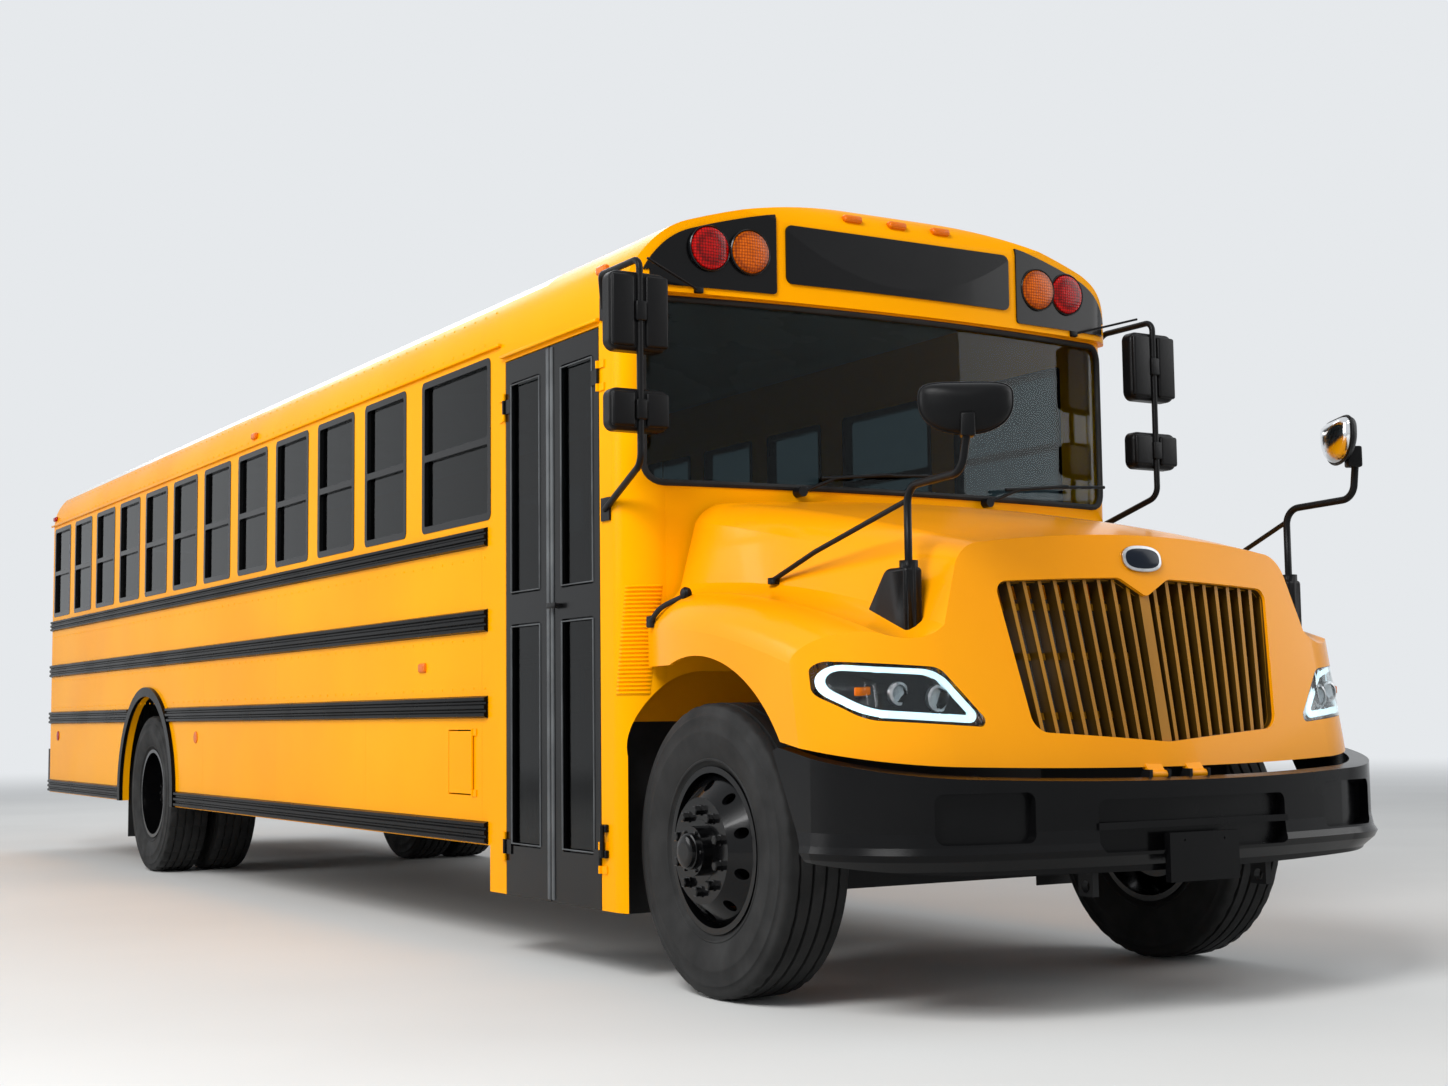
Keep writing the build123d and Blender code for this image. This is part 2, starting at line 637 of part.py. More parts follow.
def rub_rails():
    """Ribbed rails along both sides, broken at the rear wheel arches, and the arch trims."""
    rails = []
    for z0, z1, broken in RAILS:
        step = (z1 - z0) / 7
        low = RAIL_PROUD * 0.55
        points = [(HALF + GAP, z0), (HALF + RAIL_PROUD, z0 + step * 0.5), (HALF + RAIL_PROUD, z0 + step * 1.5),
                  (HALF + low, z0 + step * 2), (HALF + low, z0 + step * 2.5), (HALF + RAIL_PROUD, z0 + step * 3),
                  (HALF + RAIL_PROUD, z0 + step * 4), (HALF + low, z0 + step * 4.5), (HALF + low, z0 + step * 5),
                  (HALF + RAIL_PROUD, z0 + step * 5.5), (HALF + RAIL_PROUD, z0 + step * 6.5), (HALF + GAP, z1)]
        rear = BODY_REAR - REAR_CAP_RADIUS - 2
        spans = [(RAIL_FRONT, rear)]
        if broken:
            reach = sqrt(max((ARCH_RADIUS + ARCH_TRIM) ** 2 - ((z0 + z1) / 2 - AXLE_Z) ** 2, 0)) + 12
            spans = [(RAIL_FRONT, WHEELBASE - reach), (WHEELBASE + reach, rear)]
        for y0, y1 in spans:
            rails.extend(both_sides(front_prism(polygon(points), y0, y1)))
    ring = cylinder_x(ARCH_RADIUS + ARCH_TRIM, HALF + GAP, HALF + 24, WHEELBASE, AXLE_Z)
    ring = ring - cylinder_x(ARCH_RADIUS - 4, HALF - 10, HALF + 30, WHEELBASE, AXLE_Z)
    ring = ring & block(HALF, HALF + 50, WHEELBASE - 800, WHEELBASE + 800, SKIRT_Z, 2000)
    rails.extend(both_sides(ring))
    return rails


def emergency_door():
    half = EXIT_WIDTH / 2
    y1 = BODY_REAR + 2
    y0 = y1 - EXIT_THICKNESS
    door = block(-half, half, y0, y1, EXIT_SILL_Z, EXIT_HEAD_Z)
    glass = []
    for z0, z1 in ((EXIT_SILL_Z + 130, EXIT_SILL_Z + 560), (WINDOW_SILL_Z - 60, EXIT_HEAD_Z - 110)):
        door = door - front_prism(rounded_window(-half + 110, half - 110, z0, z1, 40), y0 - 5, y1 + 5)
        pane = rounded_window(-half + 110 + GAP, half - 110 - GAP, z0 + GAP, z1 - GAP, 40)
        glass.append(front_prism(pane, y0 + 14, y0 + 14 + GLASS))
    for z in EXIT_HINGE_Z:
        strap = block(EXIT_HINGE_X, EXIT_HINGE_X + 120, y1, y1 + 8, z - KNUCKLE_HALF, z + KNUCKLE_HALF)
        barrel = cylinder_z(9, z - KNUCKLE_HALF, z + KNUCKLE_HALF, EXIT_HINGE_X, y1 + 9)
        door = door + strap + barrel
    handle = block(half - 150, half - 40, y1, y1 + 45, 1420, 1455)
    handle = handle - block(half - 130, half - 60, y1, y1 + 25, 1410, 1460)
    return door + handle, glass


def roof_hatch(y):
    """A shallow domed hatch lid with a hinge bar along its front edge."""
    half = HATCH_SIZE / 2
    hinge_y = y - half - HATCH_HINGE
    plate = Pos(0, at(y), ROOF_TOP + 6) * Box(HATCH_SIZE, HATCH_SIZE, 44)
    plate = fillet(plate.edges().group_by(Axis.Z)[-1], 18)
    hollow = Pos(0, at(y), ROOF_TOP - 14) * Box(HATCH_SIZE - 50, HATCH_SIZE - 50, 50)
    bar = cylinder_x(HATCH_BAR_RADIUS, -HATCH_BAR_HALF, HATCH_BAR_HALF, hinge_y, ROOF_TOP + 12)
    leaf = block(-HATCH_BAR_HALF, HATCH_BAR_HALF, hinge_y, y - half + 2, ROOF_TOP + 4, ROOF_TOP + 20)
    return plate - hollow + bar + leaf


HOOD_SECTIONS = (
    # y, crown z, shoulder x, shoulder z, cheek x, cheek z, foot x, foot z, fender x, fender z, outer x, outer z
    (HOOD_REAR, 1858, 800, 1825, 962, 1740, 1020, 1500, 1060, 1440, 1150, 1290),
    (0, 1800, 780, 1765, 935, 1670, 1000, 1480, 1090, 1440, 1212, 1300),
    (-450, 1722, 720, 1680, 865, 1580, 935, 1420, 1060, 1375, 1212, 1215),
    (-850, 1638, 660, 1588, 780, 1500, 850, 1320, 1030, 1270, 1212, 1100),
    (-1250, 1530, 600, 1490, 700, 1400, 770, 1200, 1020, 1130, 1200, 970),
)


def hood_section(row, inset):
    """One cross-section of the hood: crown, shoulder, cheek, blend and fender."""
    y, crown_z, sx, sz, cx, cz, fx, fz, gx, gz, ox, oz = row
    foot_z = 700
    sx, cx, fx, gx, ox = [value - inset for value in (sx, cx, fx, gx, ox)]
    crown_z, sz, cz, fz, gz, oz = [value - inset for value in (crown_z, sz, cz, fz, gz, oz)]
    bulge = 0.30
    mx = (sx + cx) / 2 + bulge * (sz - cz) / 2
    mz = (sz + cz) / 2 + bulge * (cx - sx) / 2
    hx = (fx + gx) / 2 - 0.10 * (fz - gz)
    hz = (fz + gz) / 2 - 0.12 * (gx - fx)
    nx = (gx + ox) / 2 + 0.36 * (gz - oz) / 2
    nz = (gz + oz) / 2 + 0.36 * (ox - gx) / 2
    half = [
        ThreePointArc((sx, sz), (mx, mz), (cx, cz)),
        Line((cx, cz), (fx, fz)),
        ThreePointArc((fx, fz), (hx, hz), (gx, gz)),
        ThreePointArc((gx, gz), (nx, nz), (ox, oz)),
        Line((ox, oz), (ox, foot_z)),
    ]
    outline = ThreePointArc((-sx, sz), (0, crown_z), (sx, sz)) + Line((ox, foot_z), (-ox, foot_z))
    for edge in half:
        outline = outline + edge + mirror(edge, about=Plane.YZ)
    plane = Plane(origin=(0, at(y), 0), x_dir=(1, 0, 0), z_dir=(0, -1, 0))
    return plane * make_face(outline)


def nose_plan(inset):
    """The hood's front in plan: bowed between the lamps, swept back round the fenders."""
    nose = NOSE_CENTRE + inset
    side = 1230
    return (
        Line((-side, HOOD_REAR), (side, HOOD_REAR))
        + Line((side, HOOD_REAR), (side, -560 + inset))
        + ThreePointArc((side, -560 + inset), (1130, -845 + inset), (850, nose + 85))
        + ThreePointArc((850, nose + 85), (0, nose), (-850, nose + 85))
        + ThreePointArc((-850, nose + 85), (-1130, -845 + inset), (-side, -560 + inset))
        + Line((-side, -560 + inset), (-side, HOOD_REAR))
    )


def raked(shape):
    """Lean a shape back with the nose, about a line across the foot of the grille."""
    hinge = Pos(0, at(NOSE_CENTRE), GRILLE_FOOT_Z)
    return hinge * Rot(-RAKE, 0, 0) * hinge.inverse() * shape


def hood_form(inset):
    body = loft([hood_section(row, inset) for row in HOOD_SECTIONS])
    cutter = raked(plan_prism(nose_plan(inset), 400, 2400))
    return body & cutter


def grille_outline(grow):
    top = GRILLE_TOP_Z + grow
    foot = GRILLE_FOOT_Z - grow
    top_x = GRILLE_TOP_X + grow
    foot_x = GRILLE_FOOT_X + grow
    return FilletPolyline(
        (-foot_x, foot), (0, foot - 48), (foot_x, foot), (top_x, top - 14), (NOTCH_HALF - grow, top),
        (0, NOTCH_Z + grow), (grow - NOTCH_HALF, top), (-top_x, top - 14),
        radius=[70, 300, 70, 40, 50, 30, 50, 40], close=True)


def lamp_outline(grow):
    points = [(1185 + grow, 1172 + grow), (862, 1146 + grow), (700 - grow, 950 - grow), (1085, 978 - grow),
              (1185 + grow, 1062)]
    return FilletPolyline(*points, radius=[34, 70, 20, 120, 50], close=True)


def hood_foot(y):
    """The hood's lower edge, which rises rearward with the bumper's top."""
    return HOOD_FOOT_Z + (y - NOSE_CENTRE) * HOOD_FOOT_RISE


def hood_shell(outer):
    shell = outer - hood_form(HOOD_WALL)
    front, rear = -1400, HOOD_REAR + 10
    under = polygon([(front, 400), (rear, 400), (rear, hood_foot(rear)), (front, hood_foot(front))])
    shell = shell - side_prism(under, -1300, 1300)
    shell = shell - plan_prism(face_plan(-HOOD_SEAM, rear + 300), 400, 2400)
    arch = cylinder_x(WHEEL_ARCH, 700, 1300, 0, AXLE_Z)
    behind = block(700, 1300, 0, HOOD_REAR + 10, 400, FENDER_TIP_Z)
    for cut in (arch, behind):
        shell = shell - cut - other_side(cut)
    shell = shell - raked(front_prism(grille_outline(0), -1400, -700))
    lamp_hole = front_prism(lamp_outline(GAP), -1400, -560)
    shell = shell - lamp_hole - other_side(lamp_hole)
    for x in WIPER_X:
        shell = shell - cylinder_z(95, 1500, 2000, x, FACE_CENTRE - HOOD_SEAM)
    lug = polygon([(PIVOT_Y - 12, PIVOT_Z), (PIVOT_Y + 12, PIVOT_Z - 8), (NOSE_CENTRE + 16, HOOD_FOOT_Z + 30),
                   (NOSE_CENTRE - 2, HOOD_FOOT_Z + 30)])
    for x in (-PIVOT_X, PIVOT_X):
        shell = shell + cylinder_x(EAR_RADIUS, x - EAR_HALF, x + EAR_HALF, PIVOT_Y, PIVOT_Z)
        shell = shell + side_prism(lug, x - EAR_HALF, x + EAR_HALF)
    return shell


def grille():
    """Upright fins each side of a centre bar, in a frame behind the hood's opening."""
    back = NOSE_CENTRE + 20
    foot = GRILLE_FOOT_Z - 60
    window = front_prism(grille_outline(-GAP), -1400, -700)
    half = FIN_WIDTH / 2
    bars = []
    for side in (-1, 1):
        for number in range(FIN_COUNT + 1):
            share = number / FIN_COUNT
            top_x = side * (62 + share * (GRILLE_TOP_X - 62))
            foot_x = side * (54 + share * (GRILLE_FOOT_X - 54))
            y0 = back + 85 * ((top_x + foot_x) / 2 / 850) ** 2
            outline = [(foot_x - half, foot), (foot_x + half, foot), (top_x + half, GRILLE_TOP_Z + 10),
                       (top_x - half, GRILLE_TOP_Z + 10)]
            bars.append(front_prism(polygon(outline), y0, y0 + FIN_DEPTH))
    centre = polygon([(-22, foot), (22, foot), (22, GRILLE_TOP_Z), (-22, GRILLE_TOP_Z)])
    bars.append(front_prism(centre, back - 8, back + FIN_DEPTH))
    fins = one_solid(bars) & window
    face = front_prism(grille_outline(25), -1400, -700) - front_prism(grille_outline(-2), -1410, -690)
    band = plan_prism(nose_plan(HOOD_WALL + GAP), 400, 2400) - plan_prism(nose_plan(HOOD_WALL + 30), 390, 2410)
    behind = plan_prism(nose_plan(FIN_DEPTH + 14), 400, 2400) - plan_prism(nose_plan(FIN_DEPTH + 26), 390, 2410)
    ties = []
    for z in (GRILLE_FOOT_Z + 60, (GRILLE_FOOT_Z + GRILLE_TOP_Z) / 2, GRILLE_TOP_Z - 90):
        ties.append(behind & block(-GRILLE_TOP_X - 20, GRILLE_TOP_X + 20, -1300, -700, z - 12, z + 12))
    sides = front_prism(grille_outline(12), -1400, -700) - front_prism(grille_outline(-4), -1410, -690)
    depth = plan_prism(nose_plan(HOOD_WALL + 20), 400, 2400) - plan_prism(nose_plan(FIN_DEPTH + 26), 390, 2410)
    return raked(one_solid([fins, face & band, sides & depth] + ties))


def headlamps(outer):
    prism = front_prism(lamp_outline(0), -1400, -560)
    lamp = (outer & prism) - hood_form(70)
    return both_sides(lamp)


def cross_view_mirrors(clear_of):
    """Convex mirrors on bent posts that stand on the fenders, each with a brace."""
    pieces = []
    base_x, post_y = 880, -855
    shoe = FilletPolyline((post_y - 30, 1200), (-640, 1200), (-640, 1320), (-765, 1478), (post_y - 30, 1478),
                          radius=[4, 4, 30, 45, 12], close=True)
    base = side_prism(shoe, base_x - 36, base_x + 36)
    base = fillet(base.edges().filter_by(lambda edge: edge.bounding_box().size.X < 1 and (edge @ 0.5).Z > 1300), 14)
    boss = cylinder_z(31, 1200, 1500, base_x, post_y)
    post = tube_along([(base_x, post_y, 1490), (base_x, post_y, 1746), (893, -1165, 1758), (885, -1190, 1905)],
                      13, [60, 60])
    brace = tube_along([(base_x, post_y, 1700), (960, -420, 1560), (985, -190, 1478)], 9, [60])
    foot = cylinder_z(22, 1462, 1484, 985, -190)
    head = Pos(881, at(MIRROR_Y), 1965) * Rot(0, 0, MIRROR_TURN) * scale(Sphere(1), by=MIRROR_RADII)
    unit = one_solid([base, boss, post, brace, foot, head]) - clear_of
    pieces.extend(both_sides(unit))
    return pieces


def corner_mirrors():
    """Tall flat and small convex mirrors on a bent tube at each front corner."""
    tube_x, tube_y = HALF + 60, 250
    top = (HALF + 8, 640, 2590)
    foot = (HALF + 8, 640, 1800)
    route = [top, (tube_x, 560, 2700), (tube_x, tube_y, 2700), (tube_x, tube_y, 1930), foot]
    tube = tube_along(route, 13, [40, 40, 60])
    plates = [block(HALF + GAP, HALF + 9, y - 35, y + 35, z - 45, z + 45) for x, y, z in (top, foot)]
    heads = []
    for z, height, round_corner in ((2500, 300, 40), (2130, 160, 35)):
        head = Pos(tube_x, at(tube_y + 30), z) * Box(250, 60, height)
        head = fillet(head.edges().filter_by(Axis.Y), round_corner)
        heads.append(fillet(head.edges().group_by(Axis.Y)[0], 20))
    beside = block(HALF + GAP, HALF + 300, -100, 1000, 1500, 2900)
    mount = one_solid([tube] + plates) & beside
    return both_sides(one_solid([mount] + heads))


def bumper_plan(inset):
    """The bumper in plan: a bowed face that wraps back along both sides."""
    front = -FRONT_OVERHANG + 8 + inset
    side = HALF + 6 - inset
    return (
        Line((-side, -480), (side, -480))
        + Line((side, -480), (side, -760 + inset / 2))
        + ThreePointArc((side, -760 + inset / 2), (1090 - inset, -1035 + inset), (820, front + 95))
        + ThreePointArc((820, front + 95), (0, front), (-820, front + 95))
        + ThreePointArc((-820, front + 95), (inset - 1090, -1035 + inset), (-side, -760 + inset / 2))
        + Line((-side, -760 + inset / 2), (-side, -480))
    )


def front_bumper():
    """A deep bumper that wraps back to the front wheels, with lamp pockets and an air slot."""
    rings = []
    for z, inset in BUMPER_SECTION:
        plane = Plane(origin=(0, FRONT_AXLE, z), x_dir=(1, 0, 0), z_dir=(0, 0, 1))
        rings.append(plane * make_face(bumper_plan(inset)))
    shell = loft(rings, ruled=True) - plan_prism(bumper_plan(BUMPER_WALL), 390, 1010)
    flank = polygon([(-1300, BUMPER_FOOT_Z), (-720, 525), (-530, 880), (-560, 892), (-1300, BUMPER_TOP_Z - 8)])
    shell = shell & side_prism(flank, -1300, 1300)
    backs = plan_prism(bumper_plan(BUMPER_WALL - 15), 390, 1010)
    for x in (-815, 815):
        pocket = front_prism(rounded_window(x - 165, x + 165, 585, 745, 30), -1300, -1300 + 240)
        shell = shell - (pocket - backs)
    slot = front_prism(rounded_window(-420, 420, 545, 715, 30), -1300, -1150)
    shell = shell - (slot - backs)
    bar = block(-425, 425, -1235, -1210, 618, 640)
    plate = block(-155, 155, -FRONT_OVERHANG, -FRONT_OVERHANG + 25, 440, 600)
    bumper = shell + bar + plate
    for x in (-PLATE_HOLE_SPACING / 2, PLATE_HOLE_SPACING / 2):
        bumper = bumper - cylinder_y(PLATE_HOLE_RADIUS, -FRONT_OVERHANG - 5, -FRONT_OVERHANG + 120, x, PLATE_HOLE_Z)
    return bumper


def rear_bumper():
    y0 = BODY_REAR + GAP
    bumper = block(-HALF + 15, HALF - 15, y0, y0 + REAR_BUMPER_DEPTH, REAR_BUMPER_FOOT_Z, REAR_BUMPER_TOP_Z)
    bumper = fillet(bumper.edges().filter_by(Axis.Z).group_by(Axis.Y)[-1], 60)
    hollow = block(-HALF + 35, HALF - 35, y0 - 5, y0 + REAR_BUMPER_DEPTH - 20,
                   REAR_BUMPER_FOOT_Z + 20, REAR_BUMPER_TOP_Z - 20)
    return bumper - hollow


def tyre(x):
    """A tyre of plain section round the X axis at the given middle plane."""
    half = TYRE_WIDTH / 2
    outline = FilletPolyline((-half + 37, RIM_RADIUS - 8), (half - 37, RIM_RADIUS - 8), (half, TYRE_RADIUS - 110),
                             (half - 22, TYRE_RADIUS), (22 - half, TYRE_RADIUS), (-half, TYRE_RADIUS - 110),
                             radius=[8, 60, 26, 26, 60, 8], close=True)
    ring = revolve(Plane.XY * make_face(outline), axis=Axis.X)
    return Pos(x, 0, 0) * ring


def rim(x, side):
    """A steel wheel about the X axis: barrel, lips and a dished disc with hand holes."""
    half = TYRE_WIDTH / 2 - 34
    outer = RIM_RADIUS - 8 - GAP
    inner = RIM_RADIUS - 24
    face = WHEEL_OFFSET
    profiles = [
        [(-half, inner), (half, inner), (half, outer), (-half, outer)],
        [(-half - 8, inner), (-half, inner), (-half, RIM_RADIUS - 2), (-half - 8, RIM_RADIUS - 2)],
        [(half, inner), (half + 8, inner), (half + 8, RIM_RADIUS - 2), (half, RIM_RADIUS - 2)],
        [(side * 58, inner + 6), (side * 74, inner + 6), (side * face, 188), (side * face, DISC_HOLE),
         (side * (face - DISC_THICKNESS), DISC_HOLE), (side * (face - DISC_THICKNESS), 182)],
    ]
    wheel = one_solid([revolve(Plane.XY * make_face(polygon(points)), axis=Axis.X) for points in profiles])
    for number in range(10):
        hole = Rot(36 * number, 0, 0) * Pos(side * 110, 0, 228) * Rot(0, 90, 0) * Cylinder(20, 120)
        wheel = wheel - hole
    return Pos(x, 0, 0) * wheel


def axle_hub(x0, x1, face_x, radius):
    """A brake drum and hub from x0 to the wheel's face, with a round end at x1."""
    back = face_x - DISC_THICKNESS
    drum = Pos((x0 + back - GAP) / 2, 0, 0) * Rot(0, 90, 0) * Cylinder(DRUM_RADIUS, back - GAP - x0)
    nose = Pos((x0 + x1) / 2, 0, 0) * Rot(0, 90, 0) * Cylinder(radius, x1 - x0)
    flange = Pos(face_x - DISC_THICKNESS / 2, 0, 0) * Rot(0, 90, 0) * Cylinder(DISC_HOLE - GAP, DISC_THICKNESS + 2)
    return one_solid([drum, nose, flange])


def rear_axle():
    tube = cylinder_x(70, -560, 560, WHEELBASE, AXLE_Z)
    bowl = Pos(0, at(WHEELBASE), AXLE_Z) * Sphere(215)
    snout = cylinder_y(60, WHEELBASE - 330, WHEELBASE - 150, 0, AXLE_Z)
    return one_solid([tube, bowl, snout])


def span(side, low, high):
    """A pair of x limits on one side, in rising order."""
    return sorted((side * low, side * high))


def front_axle():
    """A dropped beam with a kingpin boss at each end and a seat under each spring."""
    end = KINGPIN_X - 66
    beam = front_prism(polygon([(-end, 430), (-620, 360), (620, 360), (end, 430), (end, 520),
                                (600, 445), (-600, 445), (-end, 520)]), -45, 45)
    pieces = [beam]
    for side in (-1, 1):
        pieces.append(cylinder_z(42, 440, 606, side * KINGPIN_X, 0))
        pieces.append(block(*span(side, KINGPIN_X - 70, KINGPIN_X), -40, 40, 455, 540))
        pieces.append(block(*span(side, FRAME_HALF - 75, FRAME_HALF), -45, 45, 440, 525 - GAP))
    return one_solid(pieces)


def knuckle():
    """The steered knuckle on the driver's side: a yoke round the kingpin and a spindle plate."""
    top = block(KINGPIN_X - 34, KINGPIN_X + 70, -46, 46, 606 + GAP, 640)
    foot = block(KINGPIN_X - 34, KINGPIN_X + 70, -46, 46, 406, 440 - GAP)
    plate = cylinder_x(150, KINGPIN_X + 46, KINGPIN_X + 70, 0, AXLE_Z)
    return one_solid([top, foot, plate])


def frame_rails():
    """Two channel rails and their cross members, with bumper horns, tow eyes and the hood's pivots."""
    foot = FRAME_TOP_Z - FRAME_HEIGHT
    y0 = -960
    y1 = BODY_REAR - 60
    pieces = []
    for side in (-1, 1):
        rail = block(*span(side, FRAME_HALF - FRAME_FLANGE, FRAME_HALF), y0, y1, foot, FRAME_TOP_Z)
        hollow = block(*span(side, FRAME_HALF - FRAME_FLANGE - 5, FRAME_HALF - FRAME_WEB), y0 - 5, y1 + 5,
                       foot + FRAME_WEB, FRAME_TOP_Z - FRAME_WEB)
        horn = block(*span(side, FRAME_HALF - FRAME_FLANGE, FRAME_HALF), -1250, y0 + 5, foot, foot + 120)
        horn = horn & plan_prism(bumper_plan(BUMPER_WALL + GAP), 400, 1000)
        x = side * TOW_EYE_X
        eye = block(x - 12.5, x + 12.5, TOW_EYE_Y - 35, TOW_EYE_Y + 35, TOW_EYE_Z - 32, foot + 10)
        eye = eye - cylinder_x(TOW_EYE_RADIUS, x - 20, x + 20, TOW_EYE_Y, TOW_EYE_Z)
        pieces.extend([rail - hollow, horn, eye])
    inside = FRAME_HALF - FRAME_WEB
    for y in CROSS_MEMBERS:
        pieces.append(block(-inside, inside, y - 40, y + 40, foot + 40, FRAME_TOP_Z - 40))
    pieces.append(cylinder_x(30, -FRAME_HALF + 40, FRAME_HALF - 40, PIVOT_Y + 60, foot + 40))
    cheek = polygon([(PIVOT_Y - 18, PIVOT_Z + 18), (PIVOT_Y + 18, PIVOT_Z + 18), (PIVOT_Y + 85, foot + 40),
                     (PIVOT_Y + 35, foot + 20), (PIVOT_Y - 18, PIVOT_Z - 20)])
    for x in (-PIVOT_X, PIVOT_X):
        for x0 in (x - EAR_HALF - GAP - 12, x + EAR_HALF + GAP):
            pieces.append(side_prism(cheek, x0, x0 + 12))
    return one_solid(pieces)


def leaf_springs():
    """Four leaf springs: centre y, half length, top of the pack there, and its thickness."""
    rail_foot = FRAME_TOP_Z - FRAME_HEIGHT
    springs = []
    for centre, reach, height, thick in ((0, 620, 600, 75), (WHEELBASE, 720, AXLE_Z + 70 + 50 + GAP, 50)):
        outline = [(centre - reach, rail_foot - 60), (centre - reach, rail_foot - 20), (centre, height),
                   (centre + reach, rail_foot - 20), (centre + reach, rail_foot - 60), (centre, height - thick)]
        spring = side_prism(polygon(outline), FRAME_HALF - 75, FRAME_HALF)
        for y in (centre - reach, centre + reach):
            spring = spring + block(FRAME_HALF - 75, FRAME_HALF, y - 25, y + 25, rail_foot - 60, rail_foot - GAP)
        springs.extend(both_sides(spring))
    return springs


def seat_places():
    """Every bench and the driver's seat: x0, x1, y of the cushion's front, leg foot heights."""
    places = []
    inner = HALF - WALL - 12 - SEAT_WIDTH
    outer = HALF - WALL - 12
    pitch = (BODY_REAR - 420 - SEAT_FIRST) / SEAT_ROWS
    for row in range(SEAT_ROWS):
        y = SEAT_FIRST + row * pitch
        over_wheel = abs(y + 200 - WHEELBASE) < 860
        wall_foot = FLOOR_TOP + GAP + (WHEEL_BOX_HEIGHT if over_wheel else 0)
        places.append((inner, outer, y, FLOOR_TOP + GAP, wall_foot))
        places.append((-outer, -inner, y, wall_foot, FLOOR_TOP + GAP))
    places.append((380, 880, 1560, FLOOR_TOP + GAP, FLOOR_TOP + GAP))
    return places


def seat_cushions():
    return [block(x0, x1, y, y + 430, SEAT_Z - 120, SEAT_Z) for x0, x1, y, foot_0, foot_1 in seat_places()]


def seat_legs():
    """Two pressed legs under every bench; on the wheel boxes the outer one is shorter."""
    legs = []
    top = SEAT_Z - 120 - GAP
    for x0, x1, y, foot_0, foot_1 in seat_places():
        legs.append(block(x0 + 60, x0 + 60 + LEG_WIDTH, y + 60, y + 400, foot_0, top))
        legs.append(block(x1 - 60 - LEG_WIDTH, x1 - 60, y + 60, y + 400, foot_1, top))
    return legs


def seat_backs():
    backs = []
    top = FLOOR_TOP + SEAT_BACK_TOP
    for x0, x1, y, foot_0, foot_1 in seat_places():
        foot = y + 430 + GAP
        outline = [(foot, SEAT_Z - 120), (foot + 60, SEAT_Z - 120), (foot + 150, top), (foot + 85, top),
                   (foot, SEAT_Z + 30)]
        backs.append(side_prism(polygon(outline), x0, x1))
    return backs


def steering_frame():
    return Pos(STEER_X, at(STEER_Y), STEER_Z) * Rot(-STEER_TILT, 0, 0)


def steering_wheel():
    ring = Torus(220, 15)
    hub_disc = Pos(0, 0, -20) * Cylinder(55, 40)
    spokes = [Rot(0, 0, 120 * turn) * Pos(112, 0, -8) * Box(220, 32, 14) for turn in range(3)]
    shaft = Pos(0, 0, -110) * Cylinder(16, 140)
    return steering_frame() * one_solid([ring, hub_disc, shaft] + spokes)


def dashboard():
    """Instrument panel on a stand, with the fixed half of the steering column."""
    front = SIDE_FRONT + 60 + GAP
    outline = [(front, FLOOR_TOP + 240), (1000, 1560), (1010, 1690), (800, 1840), (front, SCREEN_SILL_Z - 40)]
    panel = side_prism(polygon(outline), -150, HALF - WALL - 5)
    stand = block(-150, HALF - WALL - 5, front, front + 50, FLOOR_TOP + GAP, 1700)
    column = steering_frame() * Pos(0, 0, -180 - GAP - 130) * Cylinder(34, 260)
    bracket = block(STEER_X - 30, STEER_X + 30, 930, 990, 1430, 1545)
    return one_solid([panel, stand, column, bracket])


def stop_arm():
    """A blank eight-sided blade on a hinged bracket by its front edge."""
    radius = STOP_ACROSS / 2 / cos(pi / 8)
    y = STOP_HINGE + 60 + STOP_ACROSS / 2
    corners = [(y + radius * cos(pi / 8 + k * pi / 4), STOP_Z + radius * sin(pi / 8 + k * pi / 4)) for k in range(8)]
    blade = side_prism(polygon(corners), HALF + 34, HALF + 46)
    arm = block(HALF + 20, HALF + 34, STOP_HINGE, y, STOP_Z - 40, STOP_Z + 40)
    barrel = cylinder_z(14, STOP_Z - STOP_BARREL_HALF, STOP_Z + STOP_BARREL_HALF, HALF + 27, STOP_HINGE)
    return blade + arm + barrel


def fuel_flap():
    """A plain rectangular flap over the filler, hinged at its front edge."""
    z0 = FLAP_Z + 20
    z1 = FLAP_Z + FLAP_HEIGHT - 20
    flap = block(-HALF, -HALF + FLAP_THICKNESS, FLAP_FRONT, FLAP_FRONT + FLAP_WIDTH, FLAP_Z, FLAP_Z + FLAP_HEIGHT)
    strap = block(-HALF - 3, -HALF, FLAP_FRONT - 1, FLAP_FRONT + 40, z0, z1)
    barrel = cylinder_z(FLAP_KNUCKLE, z0, z1, -HALF - FLAP_KNUCKLE - GAP, FLAP_FRONT - 1 + GAP)
    return flap + strap + barrel


def lamp_panels():
    """Black skins for the warning lamps and the blank sign, on the front cap and the rear wall."""
    skin = cap_form(-8) - cap_form(-GAP)
    sign = front_prism(rounded_window(-562, 562, 2700, 2938, 30), 200, 520)
    arched = front_prism(body_section(35, CAP_FOOT_Z), 200, SIDE_FRONT + 80)
    side_outline = rounded([(606, 2652), (1300, 2652), (1300, 3100), (606, 3100)], 14)
    corner = (arched + block(HALF - 80, HALF + 40, 200, SIDE_FRONT + 80, CAP_FOOT_Z, 2712))
    corner = corner & front_prism(side_outline, 200, SIDE_FRONT + 80)
    panels = [skin & sign, skin & corner, skin & other_side(corner)]
    rear = BODY_REAR + GAP
    panels.append(front_prism(rounded_window(-480, 480, 2640, 2850, 30), rear, rear + 20))
    for x in (-760, 760):
        panels.append(front_prism(rounded_window(x - 215, x + 215, 2610, 2790, 30), rear, rear + 20))
    return panels


